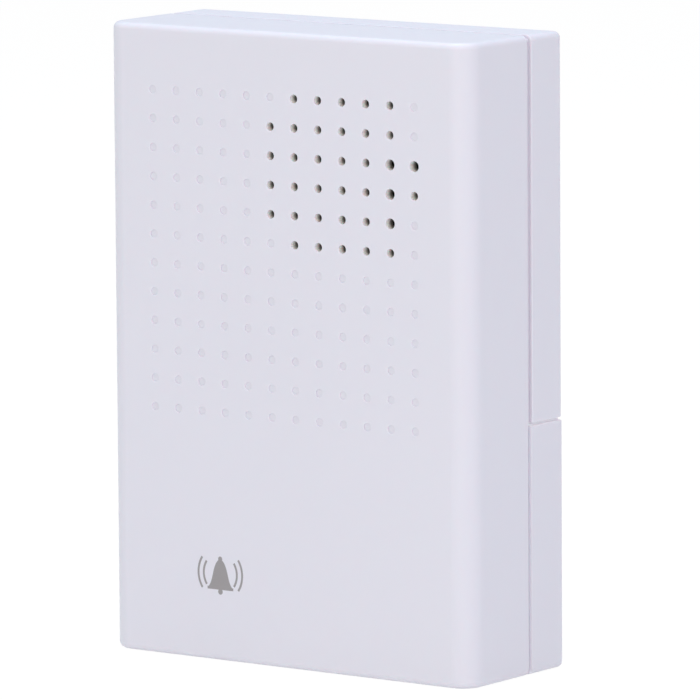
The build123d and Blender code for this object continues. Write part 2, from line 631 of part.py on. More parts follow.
def make_surround():
    """Half roll that hangs the cone in the basket, with its rim glued on the flange."""
    front = FRONT_WALL + GASKET_THICKNESS
    back = front + PAPER
    roll = (RIM_INSIDE - CONE_OUTER) / 2
    middle = (RIM_INSIDE + CONE_OUTER) / 2
    inner = CONE_OUTER + GLUE_GAP
    outer = SPEAKER_RADIUS - SURROUND_INSET
    outer_arc = ThreePointArc((inner, front), (middle, front + roll), (RIM_INSIDE, front))
    rim = Polyline((RIM_INSIDE, front), (outer, front), (outer, back), (RIM_INSIDE, back))
    inner_arc = ThreePointArc((RIM_INSIDE, back), (middle, back + roll), (inner, back))
    lip = Line((inner, back), (inner, front))
    face = make_face(outer_arc + rim + inner_arc + lip)
    return Pos(SPEAKER_X, y_at(0), SPEAKER_Z) * revolve(face, axis=Axis.Y)


def make_cone():
    """Paper cone from the surround down to the coil former."""
    front = FRONT_WALL + GASKET_THICKNESS
    outline = [
        (CONE_OUTER, front),
        (CONE_OUTER, front + PAPER),
        (FORMER_OUTER + GLUE_GAP, CONE_BASE + PAPER),
        (FORMER_OUTER + GLUE_GAP, CONE_BASE),
        (CONE_OUTER - 0.6, front),
    ]
    return speaker_part(outline)


def dome_arc(radius, rise, tip):
    """Arc of a shallow dome from its tip on the axis out to its rim, centred on the axis."""
    sphere = (radius ** 2 + rise ** 2) / (2 * rise)
    half_way = sphere - math.sqrt(sphere ** 2 - (radius / 2) ** 2)
    return ThreePointArc((0, tip), (radius / 2, tip + half_way), (radius, tip + rise))


def make_dust_cap():
    """Shallow dome over the coil, seated in the cone's throat."""
    tip = CONE_BASE - DUST_CAP_SET
    rise = DUST_CAP_RISE
    radius = COIL_RADIUS
    outer = dome_arc(radius, rise, tip)
    inner = dome_arc(radius, rise, tip + PAPER)
    rim = Line((radius, tip + rise), (radius, tip + rise + PAPER))
    axis_line = Line((0, tip + PAPER), (0, tip))
    face = make_face(outer + rim + inner + axis_line)
    return Pos(SPEAKER_X, y_at(0), SPEAKER_Z) * revolve(face, axis=Axis.Y)


def make_spider():
    """Corrugated ring that centres the coil, glued on the basket's shelf."""
    inner = FORMER_OUTER + GLUE_GAP
    outer = SHELF_OUTER - SURROUND_INSET
    seat = SHELF_FRONT - PAPER
    step = (outer - SPIDER_RIM - inner) / (2 * SPIDER_WAVES)
    crests = range(2 * SPIDER_WAVES + 1)
    front_side = [(inner + i * step, seat - SPIDER_WAVE_HEIGHT * (i % 2)) for i in crests]
    outline = front_side + [(outer, seat), (outer, seat + PAPER)]
    outline += [(r, d + PAPER) for r, d in reversed(front_side)]
    return speaker_part(outline)


def make_speaker_yoke():
    """Back plate and pole in one piece of steel."""
    outline = [
        (0, SHELF_BACK),
        (POLE_RADIUS, SHELF_BACK),
        (POLE_RADIUS, MAGNET_BACK),
        (MAGNET_RADIUS, MAGNET_BACK),
        (MAGNET_RADIUS, MAGNET_BACK + 0.6 * YOKE_THICKNESS),
        (MAGNET_RADIUS - 0.4 * YOKE_THICKNESS, MAGNET_BACK + YOKE_THICKNESS),
        (0, MAGNET_BACK + YOKE_THICKNESS),
    ]
    return speaker_part(outline)


# Tag strip under the loudspeaker, on the basket's shelf
STRIP_WIDTH = 11.0
STRIP_TOP = SPEAKER_Z - MAGNET_RADIUS - 0.8
STRIP_BASE = SPEAKER_Z - SPEAKER_RADIUS + 1.2
STRIP_SHEET = 0.8
TAG_SPACING = 6.0
TAG_WIDTH = 2.0
TAG_SHEET = 0.4
TAG_OVERHANG = 1.2
TAG_FOOT = STRIP_BASE - TAG_OVERHANG
TAG_XS = (SPEAKER_X - TAG_SPACING / 2, SPEAKER_X + TAG_SPACING / 2)
TAG_LEAD_DEPTH = SHELF_BACK + STRIP_SHEET + TAG_SHEET + LEAD_RADIUS + 0.1


def make_tag_strip():
    half = STRIP_WIDTH / 2
    depths = (SHELF_BACK, SHELF_BACK + STRIP_SHEET)
    return block((SPEAKER_X - half, SPEAKER_X + half), depths, (STRIP_BASE, STRIP_TOP))


def make_speaker_tags():
    """Two brass tags whose ears stand up for the leads."""
    tags = []
    front = SHELF_BACK + STRIP_SHEET
    for x in TAG_XS:
        across = (x - TAG_WIDTH / 2, x + TAG_WIDTH / 2)
        flat = block(across, (front, front + TAG_SHEET), (TAG_FOOT, STRIP_TOP - 1))
        ear_depths = (front, TAG_LEAD_DEPTH + LEAD_RADIUS + TAG_SHEET)
        ear = block(across, ear_depths, (TAG_FOOT, TAG_FOOT + TAG_SHEET))
        tags.append(flat + ear)
    return group(tags)


def make_speaker_washers():
    washer = (FLANGE_BACK, FLANGE_BACK + CLAMP_WASHER_THICKNESS)
    hole = CLAMP_SCREW_RADIUS + THREAD_CLEARANCE
    return group([
        rod_back(x, z, CLAMP_WASHER_RADIUS, washer) - rod_back(x, z, hole, (washer[0] - 1, washer[1] + 1))
        for x, z in CLAMP_PLACES
    ])


def make_speaker_screws():
    seat = FLANGE_BACK + CLAMP_WASHER_THICKNESS
    screw = pan_screw(2 * CLAMP_SCREW_RADIUS, CLAMP_HEAD_HEIGHT, CLAMP_SCREW_RADIUS, seat - 0.7 * FRONT_WALL)
    return group([Pos(x, y_at(seat), z) * screw for x, z in CLAMP_PLACES])


def make_circuit_board():
    board = block((BOARD_LEFT, BOARD_RIGHT), (BOARD_FRONT, BOARD_BACK), (BOARD_BASE, BOARD_TOP))
    through = (BOARD_FRONT - OVERLAP, BOARD_BACK + OVERLAP)
    hole = BOARD_SCREW_RADIUS + SCREW_CLEARANCE
    cutters = [rod_back(x, z, hole, through) for x, z in BOARD_SCREWS]
    cutters += [rod_back(PIN_X, z, PIN_RADIUS + 0.1, through) for z in TERMINAL_PLACES]
    cutters.append(tab_slot(BAY_RIGHT - CONTACT_SHEET, BAY_RIGHT, cell_height(CELL_COUNT - 1), through))
    return board - cutters


def make_board_screws():
    length = BOARD_BACK - FRONT_WALL - BOARD_HEAD_HEIGHT
    screw = pan_screw(BOARD_HEAD_RADIUS, BOARD_HEAD_HEIGHT, BOARD_SCREW_RADIUS, length)
    return group([Pos(x, y_at(BOARD_BACK), z) * screw for x, z in BOARD_SCREWS])


# Places on the board, from its lower left corner
CHIP_LENGTH = 9.6
CHIP_WIDTH = 6.4
CHIP_HEIGHT = 3.2
CHIP_STAND_OFF = 0.5
CHIP_PIN_PITCH = 2.54
CHIP_PIN_WIDTH = 0.6
CHIP_PINS_A_SIDE = 4
CHIP_NOTCH_RADIUS = 0.8
CHIP_PLACE = (BOARD_LEFT + 19.0, BOARD_BASE + 22.0)
RESERVOIR_RADIUS = 1.95
RESERVOIR_LENGTH = 11.0
RESERVOIR_PLACE = (BOARD_LEFT + 12.0, BOARD_BASE + 10.0)
COUPLING_RADIUS = 1.6
COUPLING_LENGTH = 7.0
COUPLING_PLACE = (BOARD_LEFT + 36.0, BOARD_BASE + 28.0)
CAN_NECK = 1.2
RESISTOR_LENGTH = 6.3
RESISTOR_RADIUS = 1.15
RESISTOR_COUNT = 5
RESISTOR_PLACE = (BOARD_LEFT + 32.5, BOARD_BASE + 7.0)
RESISTOR_SPACING = 3.6
DIODE_RADIUS = 1.35
DIODE_LENGTH = 5.2
DIODE_PLACE = (BOARD_LEFT + 43.0, BOARD_BASE + 8.0)
TRANSISTOR_RADIUS = 2.3
TRANSISTOR_LENGTH = 4.6
TRANSISTOR_LEG_SPACING = 1.27
TRANSISTOR_LEG_WIDTH = 0.5
TRANSISTOR_LEG_SHEET = 0.4
TRANSISTOR_GAP = 0.1
TRANSISTOR_PLACES = ((BOARD_LEFT + 36.0, BOARD_BASE + 20.0), (BOARD_LEFT + 42.0, BOARD_BASE + 20.0))
CERAMIC_RADIUS = 2.2
CERAMIC_THICKNESS = 1.6
CERAMIC_GAP = 0.4
CERAMIC_PLACES = ((BOARD_LEFT + 8.0, BOARD_BASE + 27.0), (BOARD_LEFT + 30.0, BOARD_BASE + 30.5))
WIRE_LEG_RADIUS = 0.3
LEG_REACH = 1.5
PIN_RADIUS = 0.5
PIN_REACH = 0.8
PIN_X = TERMINAL_LEFT + 0.55 * TERMINAL_WIDTH


def leg(x, z, front):
    """Component leg from inside a body down to the board's front face."""
    return rod_back(x, z, WIRE_LEG_RADIUS, (front, BOARD_FRONT))


def make_melody_chip():
    """Eight-leg chip on the board's front side."""
    x, z = CHIP_PLACE
    left = x - CHIP_LENGTH / 2
    back = BOARD_FRONT - CHIP_STAND_OFF
    front = back - CHIP_HEIGHT
    body = block((left, left + CHIP_LENGTH), (front, back), (z - CHIP_WIDTH / 2, z + CHIP_WIDTH / 2))
    body -= rod_back(left, z, CHIP_NOTCH_RADIUS, (front - OVERLAP, front + 0.5 * CHIP_NOTCH_RADIUS))
    half = CHIP_PIN_WIDTH / 2
    for index in range(CHIP_PINS_A_SIDE):
        pin_x = x + (index - (CHIP_PINS_A_SIDE - 1) / 2) * CHIP_PIN_PITCH
        for side in (-1, 1):
            edge = z + side * CHIP_WIDTH / 2
            heights = sorted((edge - side * half, edge + side * CHIP_PIN_WIDTH))
            body += block((pin_x - half, pin_x + half), (back - 0.6 * CHIP_HEIGHT, BOARD_FRONT), heights)
    return body


def lying_can(place, radius, length):
    """Capacitor can that lies on the board along X, with its crimped neck and two legs."""
    x, z = place
    depth = BOARD_FRONT - radius
    can = rod_across(depth, z, radius, (x, x + length))
    neck = (x + CAN_NECK, x + 1.5 * CAN_NECK)
    can -= rod_across(depth, z, 1.5 * radius, neck) - rod_across(depth, z, 0.9 * radius, (x, x + length))
    for side in (-1, 1):
        leg_z = z + side * 0.5 * radius
        wire = rod_across(depth, leg_z, 0.8 * WIRE_LEG_RADIUS, (x - CAN_NECK, x + OVERLAP))
        can = can + wire + leg(x - CAN_NECK + WIRE_LEG_RADIUS, leg_z, depth - WIRE_LEG_RADIUS)
    return can


def axial_part(x, z, radius, length):
    """Resistor or diode lying along Z with its two bent legs."""
    depth = BOARD_FRONT - radius - 0.2
    middle = Pos(x, y_at(depth), z)
    body = middle * Cylinder(radius, length)
    wire = middle * Cylinder(0.8 * WIRE_LEG_RADIUS, length + 2 * LEG_REACH)
    reach = length / 2 + LEG_REACH - WIRE_LEG_RADIUS
    legs = [leg(x, z - reach, depth), leg(x, z + reach, depth)]
    return body + wire + legs


def make_resistors():
    x, z = RESISTOR_PLACE
    middle = z + RESISTOR_LENGTH / 2
    first = x - (RESISTOR_COUNT - 1) * RESISTOR_SPACING / 2
    return group([
        axial_part(first + i * RESISTOR_SPACING, middle, RESISTOR_RADIUS, RESISTOR_LENGTH)
        for i in range(RESISTOR_COUNT)
    ])


def make_polarity_diode():
    x, z = DIODE_PLACE
    return axial_part(x, z + DIODE_LENGTH / 2, DIODE_RADIUS, DIODE_LENGTH)


def make_transistors():
    """Two small transistors laid flat on the board, each a half-round body with three legs."""
    pieces = []
    for x, z in TRANSISTOR_PLACES:
        depth = BOARD_FRONT - 0.55 * TRANSISTOR_RADIUS - TRANSISTOR_GAP
        body = Pos(x, y_at(depth), z) * Cylinder(TRANSISTOR_RADIUS, TRANSISTOR_LENGTH)
        reach = 2 * TRANSISTOR_RADIUS
        flat = (BOARD_FRONT - TRANSISTOR_GAP, BOARD_FRONT + reach)
        body -= block((x - reach, x + reach), flat, (z - reach, z + reach))
        for i in (-1, 0, 1):
            leg_x = x + i * TRANSISTOR_LEG_SPACING
            across = (leg_x - TRANSISTOR_LEG_WIDTH / 2, leg_x + TRANSISTOR_LEG_WIDTH / 2)
            low = z - TRANSISTOR_LENGTH / 2 - LEG_REACH
            front = depth - TRANSISTOR_LEG_SHEET / 2
            body += block(across, (front, front + TRANSISTOR_LEG_SHEET), (low, z))
            body += block(across, (front, BOARD_FRONT), (low, low + TRANSISTOR_LEG_WIDTH))
        pieces.append(body)
    return group(pieces)


def make_ceramic_capacitors():
    """Disc capacitors bent over flat, each on two legs."""
    pieces = []
    for x, z in CERAMIC_PLACES:
        back = BOARD_FRONT - CERAMIC_GAP
        disc = rod_back(x, z, CERAMIC_RADIUS, (back - CERAMIC_THICKNESS, back))
        disc = fillet(disc.edges(), 0.35 * CERAMIC_THICKNESS)
        middle = back - CERAMIC_THICKNESS / 2
        for side in (-1, 1):
            disc = disc + leg(x + side * CERAMIC_RADIUS / 2, z, middle)
        pieces.append(disc)
    return group(pieces)


# Clamps of the terminal block
CLAMP_LEFT = TERMINAL_LEFT + 1.6
CLAMP_RIGHT = TERMINAL_RIGHT - 0.6
CLAMP_FRONT = BOARD_BACK + 2.4
CLAMP_BACK = BOARD_BACK + 7.2
CLAMP_WIDTH = 3.4
CLAMP_SPARE = 0.1
WIRE_ENTRY_DEPTH = BOARD_BACK + 4.4
WIRE_ENTRY_RADIUS = 1.5
CLAMP_MOUTH_RADIUS = 1.2
CLAMP_BORE_RADIUS = 0.9
TERMINAL_SHAFT_RADIUS = 1.9
TERMINAL_HEAD_RADIUS = 1.75
TERMINAL_HEAD_HEIGHT = 1.5
TERMINAL_SHANK_RADIUS = 0.85
TERMINAL_SLOT_WIDTH = 0.5
TERMINAL_BEVEL = 0.8


def clamp_box(z, grow):
    """One terminal's clamp, or its room in the housing where it is grown a little."""
    half = CLAMP_WIDTH / 2 + grow
    depths = (CLAMP_FRONT - grow, CLAMP_BACK + grow)
    return block((CLAMP_LEFT - grow, CLAMP_RIGHT + grow), depths, (z - half, z + half))


def make_terminal_block():
    heights = (TERMINAL_MIDDLE - TERMINAL_LENGTH / 2, TERMINAL_MIDDLE + TERMINAL_LENGTH / 2)
    housing = block((TERMINAL_LEFT, TERMINAL_RIGHT), (BOARD_BACK, TERMINAL_BACK), heights)
    top = housing.faces().sort_by(Axis.Y)[-1]
    housing = chamfer(top.edges().filter_by(Axis.Z), TERMINAL_BEVEL)
    cutters = []
    for z in TERMINAL_PLACES:
        cutters.append(clamp_box(z, CLAMP_SPARE))
        entry = (CLAMP_RIGHT - OVERLAP, TERMINAL_RIGHT + OVERLAP)
        cutters.append(rod_across(WIRE_ENTRY_DEPTH, z, WIRE_ENTRY_RADIUS, entry))
        shaft = (CLAMP_BACK - OVERLAP, TERMINAL_BACK + OVERLAP)
        cutters.append(rod_back(PIN_X, z, TERMINAL_SHAFT_RADIUS, shaft))
        pin_room = (BOARD_BACK - OVERLAP, CLAMP_FRONT + OVERLAP)
        cutters.append(rod_back(PIN_X, z, PIN_RADIUS + CLAMP_SPARE, pin_room))
    return housing - cutters


def make_terminal_cages():
    """Four clamps with their solder pins."""
    cages = []
    for z in TERMINAL_PLACES:
        cage = clamp_box(z, 0)
        mouth = (CLAMP_LEFT + CLAMP_MOUTH_RADIUS, CLAMP_RIGHT + OVERLAP)
        cage -= rod_across(WIRE_ENTRY_DEPTH, z, CLAMP_MOUTH_RADIUS, mouth)
        cage -= rod_back(PIN_X, z, CLAMP_BORE_RADIUS, (WIRE_ENTRY_DEPTH, TERMINAL_BACK))
        cage += rod_back(PIN_X, z, PIN_RADIUS, (BOARD_FRONT - PIN_REACH, CLAMP_FRONT + CLAMP_SPARE))
        cages.append(cage)
    return group(cages)


def make_terminal_screws():
    """Slotted clamp screws, in from the rear."""
    pieces = []
    for z in TERMINAL_PLACES:
        seat = CLAMP_BACK + CLAMP_SPARE / 2
        head = rod_back(PIN_X, z, TERMINAL_HEAD_RADIUS, (seat, seat + TERMINAL_HEAD_HEIGHT))
        across = (PIN_X - TERMINAL_SHAFT_RADIUS, PIN_X + TERMINAL_SHAFT_RADIUS)
        slot_depths = (seat + TERMINAL_HEAD_HEIGHT / 2, seat + TERMINAL_HEAD_HEIGHT + OVERLAP)
        slot = block(across, slot_depths, (z - TERMINAL_SLOT_WIDTH / 2, z + TERMINAL_SLOT_WIDTH / 2))
        shank = rod_back(PIN_X, z, TERMINAL_SHANK_RADIUS, (WIRE_ENTRY_DEPTH + OVERLAP, seat + OVERLAP))
        pieces.append(head - slot + shank)
    return group(pieces)


def cell_direction(index):
    """Sign of X at a cell's positive end: the top cell points right, and they alternate."""
    return 1 if (CELL_COUNT - 1 - index) % 2 == 0 else -1


def positive_end(index):
    """X of the tip of a cell's positive nub."""
    inset = CONTACT_SHEET + CONTACT_BUMP + CONTACT_PLAY
    return BAY_RIGHT - inset if cell_direction(index) > 0 else BAY_LEFT + inset


def make_cell(index):
    """Steel can with its nub, inside the sleeve's bore."""
    radius = CELL_RADIUS - SLEEVE_THICKNESS - 0.02
    nub = CELL_NUB_DIAMETER / 2
    body = CELL_LENGTH - CELL_NUB_LENGTH
    outline = [
        (0, 0),
        (radius - 0.5, 0),
        (radius, 0.5),
        (radius, body - 0.6),
        (radius - 0.6, body),
        (nub, body),
        (nub, CELL_LENGTH - 0.3),
        (nub - 0.3, CELL_LENGTH),
        (0, CELL_LENGTH),
    ]
    solid = revolve(make_face(Polyline(*outline, close=True)), axis=Axis.Y)
    side = cell_direction(index)
    start = positive_end(index) - side * CELL_LENGTH
    return Pos(start, y_at(CELL_AXIS), cell_height(index)) * Rot(0, 0, -90 * side) * solid


def make_cell_sleeve(index):
    """Shrunk plastic sleeve round a cell."""
    side = cell_direction(index)
    start = positive_end(index) - side * (CELL_LENGTH - 0.6)
    end = positive_end(index) - side * (CELL_NUB_LENGTH + 0.7)
    across = sorted((start, end))
    outer = rod_across(CELL_AXIS, cell_height(index), CELL_RADIUS, across)
    ends = (across[0] - OVERLAP, across[1] + OVERLAP)
    return outer - rod_across(CELL_AXIS, cell_height(index), CELL_RADIUS - SLEEVE_THICKNESS, ends)


def contact_plate(wall, side, low_index, high_index):
    """Contact plate against an end wall of the bay, over one cell or two."""
    across = sorted((wall, wall + side * CONTACT_SHEET))
    half = CELL_PITCH / 2 - 0.2
    heights = (cell_height(low_index) - half, cell_height(high_index) + half)
    return block(across, (TRAY_FLOOR, CELL_AXIS + 0.75 * CELL_RADIUS), heights)


def contact_bump(wall, side, index):
    """Pressed dome that meets a cell's nub."""
    across = sorted((wall + side * 0.5 * CONTACT_SHEET, wall + side * (CONTACT_SHEET + CONTACT_BUMP)))
    bump = rod_across(CELL_AXIS, cell_height(index), CONTACT_BUMP_RADIUS, across)
    tip = bump.faces().sort_by(Axis.X)[-1 if side > 0 else 0]
    return fillet(tip.edges(), 0.8 * CONTACT_BUMP)


def solder_tab(wall, side, index, front):
    """Tab that reaches through the tray floor."""
    across = sorted((wall, wall + side * CONTACT_SHEET))
    z = cell_height(index)
    half = CONTACT_TAB_WIDTH / 2
    return block(across, (front, TRAY_FLOOR + OVERLAP), (z - half, z + half))


def make_contact_positive():
    top = CELL_COUNT - 1
    plate = contact_plate(BAY_RIGHT, -1, top, top) + contact_bump(BAY_RIGHT, -1, top)
    return plate + solder_tab(BAY_RIGHT, -1, top, BOARD_FRONT - PIN_REACH)


def make_contact_negative():
    return contact_plate(BAY_LEFT, 1, 0, 0) + solder_tab(BAY_LEFT, 1, 0, LEAD_DEPTH - LEAD_RADIUS - 0.2)


def make_bridge(wall, side, low_index):
    """Plate that joins two neighbouring cells; its dome stands where the positive end is."""
    plate = contact_plate(wall, side, low_index, low_index + 1)
    for index in (low_index, low_index + 1):
        if cell_direction(index) == -side:
            plate += contact_bump(wall, side, index)
    return plate


def spring_point(turn):
    """Point and direction on the cone of a contact spring, for a number of turns from its base."""
    climb = min(max((turn - 0.5) / (SPRING_TURNS - 1), 0), 1)
    slope = 1 / (SPRING_TURNS - 1) if 0.5 < turn < SPRING_TURNS - 0.5 else 0
    radius = SPRING_BASE_RADIUS + (SPRING_TIP_RADIUS - SPRING_BASE_RADIUS) * climb
    narrowing = (SPRING_TIP_RADIUS - SPRING_BASE_RADIUS) * slope
    travel = SPRING_LENGTH - SPRING_WIRE - 2 * CONTACT_PLAY
    angle = 2 * math.pi * turn
    point = Vector(climb * travel, radius * math.cos(angle), radius * math.sin(angle))
    along = Vector(
        slope * travel,
        narrowing * math.cos(angle) - 2 * math.pi * radius * math.sin(angle),
        narrowing * math.sin(angle) + 2 * math.pi * radius * math.cos(angle),
    )
    return point, along.normalized()


def two_arcs(start, start_way, end, end_way):
    """Pair of arcs between two points that keeps both directions."""
    chord = end - start
    ways = start_way + end_way
    a = 2 * (start_way.dot(end_way) - 1)
    b = -2 * chord.dot(ways)
    c = chord.dot(chord)
    reach = (-b - math.sqrt(b * b - 4 * a * c)) / (2 * a)
    first = start + start_way * reach
    last = end - end_way * reach
    middle = (first + last) * 0.5
    return [
        TangentArc(start, middle, tangent=start_way),
        TangentArc(middle, end, tangent=(last - first).normalized()),
    ]


def make_spring():
    """Conical coil in one unbroken wire, its base turn flat on X 0."""
    arcs = []
    steps = 4 * SPRING_TURNS
    for step in range(steps):
        start, start_way = spring_point(step / 4)
        end, end_way = spring_point((step + 1) / 4)
        arcs += two_arcs(start, start_way, end, end_way)
    path = Wire(arcs)
    section = Plane(origin=path @ 0, z_dir=path % 0) * Circle(SPRING_WIRE / 2)
    count = 80 * SPRING_TURNS
    samples = [path @ (i / count) for i in range(count + 1)]
    half_turn = 48
    least = min((a - b).length for i, a in enumerate(samples) for b in samples[i + half_turn:])
    gap = least - SPRING_WIRE
    print(f"contact spring: length {path.length:.1f} mm, least gap between turns {gap:.2f} mm")
    return sweep(section, path=path)


def make_contact_springs():
    """One spring on the negative end of each cell."""
    spring = make_spring()
    stand = SPRING_WIRE / 2 + CONTACT_PLAY / 2
    pieces = []
    for index in range(CELL_COUNT):
        side = -cell_direction(index)
        wall = BAY_RIGHT if side > 0 else BAY_LEFT
        place = Pos(wall - side * (CONTACT_SHEET + stand), y_at(CELL_AXIS), cell_height(index))
        pieces.append(place * Rot(0, 0, 180 if side > 0 else 0) * spring)
    return group(pieces)


def lead(points, name, first_depth=LEAD_DEPTH):
    """Insulated wire: straight runs joined by arcs as wide as the runs allow; its depth changes evenly."""
    last = len(points) - 1
    shares = [min(max((i - 1) / max(last - 2, 1), 0), 1) for i in range(last + 1)]
    depths = [first_depth + share * (LEAD_DEPTH - first_depth) for share in shares]
    corners = [Vector(x, y_at(depth), z) for (x, z), depth in zip(points, depths)]
    radii = []
    for before, corner, after in zip(corners, corners[1:], corners[2:]):
        turn = math.radians((corner - before).get_angle(after - corner))
        shorter = min((corner - before).length, (after - corner).length)
        radii.append(0.45 * shorter / math.tan(turn / 2))
    path = FilletPolyline(*corners, radius=radii)
    section = Plane(origin=path @ 0, z_dir=path % 0) * Circle(LEAD_RADIUS)
    wire = sweep(section, path=path)
    share = wire.volume / (math.pi * LEAD_RADIUS ** 2 * path.length)
    bends = ", ".join(f"{r:.1f}" for r in radii)
    print(f"{name}: length {path.length:.1f} mm, radii {bends}, volume share {share:.4f}")
    return wire


# Solder points on the board's rear face, and where each lead starts
SPEAKER_PADS = ((BOARD_LEFT + 27.0, BOARD_TOP - 3.0), (BOARD_LEFT + 32.5, BOARD_TOP - 3.0))
BATTERY_PAD = (BOARD_LEFT + 6.0, cell_height(0) + 3.0)


def make_solder_joints():
    """Solder domes, each cut off where the end of its lead meets it."""
    reach = 2 * SOLDER_RADIUS
    depths = (BOARD_BACK - OVERLAP, TRAY_FRONT)
    joints = []
    for x, z in SPEAKER_PADS:
        end = block((x - reach, x + reach), depths, (z + SOLDER_RADIUS / 2, z + reach))
        joints.append(solder_dome(x, z) - end)
    x, z = BATTERY_PAD
    end = block((x - reach, x - SOLDER_RADIUS / 2), depths, (z - reach, z + reach))
    joints.append(solder_dome(x, z) - end)
    return group(joints)


def solder_dome(x, z):
    """Blob of solder on the board."""
    outline = [
        (0, BOARD_BACK),
        (SOLDER_RADIUS, BOARD_BACK),
        (0.9 * SOLDER_RADIUS, BOARD_BACK + 0.5 * SOLDER_HEIGHT),
        (0.55 * SOLDER_RADIUS, BOARD_BACK + SOLDER_HEIGHT),
        (0, BOARD_BACK + SOLDER_HEIGHT),
    ]
    return turned(outline, x, z)


def make_speaker_lead(which, name):
    """Lead from a loudspeaker tag down to its pad at the board's upper edge."""
    tag_x = TAG_XS[which]
    pad_x, pad_z = SPEAKER_PADS[which]
    start = TAG_FOOT
    end = pad_z + 0.5 * SOLDER_RADIUS
    fall = start - end
    bow = 3.6 - 1.8 * which
    points = [
        (tag_x, start),
        (tag_x + 0.1, start - 0.2 * fall),
        (tag_x - 0.3 * (tag_x - pad_x) + 0.6 * bow, start - 0.42 * fall),
        (pad_x - bow, start - 0.66 * fall),
        (pad_x, start - 0.86 * fall),
        (pad_x + 0.02, end),
    ]
    return lead(points, name, TAG_LEAD_DEPTH)


def make_battery_lead():
    """Lead from the negative tab across to its pad."""
    start = BAY_LEFT + CONTACT_SHEET
    pad_x, pad_z = BATTERY_PAD
    end = pad_x - 0.5 * SOLDER_RADIUS
    z = cell_height(0)
    span = end - start
    points = [(start, z), (start + 0.3 * span, z), (start + 0.64 * span, pad_z), (end, pad_z)]
    return lead(points, "battery_lead_black")


def save(name, shape):
    """Write one node."""
    export_step(shape, f"parts/{name}.step")


def main():
    os.makedirs("parts", exist_ok=True)
    save("front_cover", make_front_cover())
    save("rear_shell", make_rear_shell())
    save("battery_door", make_battery_door())
    save("case_screws", make_case_screws())

    gasket_back = FRONT_WALL + GASKET_THICKNESS
    save("speaker_gasket", speaker_ring(RIM_INSIDE, SPEAKER_RADIUS, FRONT_WALL, gasket_back))
    save("speaker_basket", make_speaker_basket())
    save("speaker_surround", make_surround())
    save("speaker_cone", make_cone())
    save("speaker_dust_cap", make_dust_cap())
    save("voice_coil_former", speaker_ring(COIL_RADIUS, FORMER_OUTER, CONE_BASE - 0.6, FORMER_BACK))
    save("voice_coil", speaker_ring(FORMER_OUTER, WINDING_OUTER, SHELF_BACK - 0.6, FORMER_BACK - 0.4))
    save("speaker_spider", make_spider())
    save("speaker_top_plate", speaker_ring(PLATE_BORE, MAGNET_RADIUS + 0.5, SHELF_BACK, TOP_PLATE_BACK))
    save("speaker_magnet", speaker_ring(PLATE_BORE + 0.8, MAGNET_RADIUS, TOP_PLATE_BACK, MAGNET_BACK))
    save("speaker_yoke", make_speaker_yoke())
    save("speaker_tag_strip", make_tag_strip())
    save("speaker_tags", make_speaker_tags())
    save("speaker_washers", make_speaker_washers())
    save("speaker_screws", make_speaker_screws())

    save("circuit_board", make_circuit_board())
    save("board_screws", make_board_screws())
    save("melody_chip", make_melody_chip())
    save("reservoir_capacitor", lying_can(RESERVOIR_PLACE, RESERVOIR_RADIUS, RESERVOIR_LENGTH))
    save("coupling_capacitor", lying_can(COUPLING_PLACE, COUPLING_RADIUS, COUPLING_LENGTH))
    save("resistors", make_resistors())
    save("polarity_diode", make_polarity_diode())
    save("transistors", make_transistors())
    save("ceramic_capacitors", make_ceramic_capacitors())
    save("solder_joints", make_solder_joints())
    save("terminal_block", make_terminal_block())
    save("terminal_cages", make_terminal_cages())
    save("terminal_screws", make_terminal_screws())
    save("speaker_lead_red", make_speaker_lead(0, "speaker_lead_red"))
    save("speaker_lead_black", make_speaker_lead(1, "speaker_lead_black"))
    save("battery_lead_black", make_battery_lead())

    for index in range(CELL_COUNT):
        save(f"cell_{index + 1}", make_cell(index))
        save(f"cell_sleeve_{index + 1}", make_cell_sleeve(index))
    save("contact_positive", make_contact_positive())
    save("contact_negative", make_contact_negative())
    save("contact_bridge_left", make_bridge(BAY_LEFT, 1, 1))
    save("contact_bridge_right", make_bridge(BAY_RIGHT, -1, 0))
    save("contact_springs", make_contact_springs())


main()
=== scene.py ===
# %% [markdown]
# A doorbell's indoor chime, dressed
# The object is a small upright box of white moulded plastic. Its front is drilled in one corner for a
# loudspeaker, a groove runs round it where the two halves of the case meet, and a separate cover closes
# the cells and the terminals at the lower back. The frame brings every piece of it at its real size, so
# this lesson gives each piece its finish, copies it with normals that follow its flats, and lights the
# whole. All lengths are in metres, with X to the right, Y to the wall and Z up.

# %% Load the frame
import json
import math

import bmesh
import bpy
import numpy as np
from mathutils import Matrix, Vector

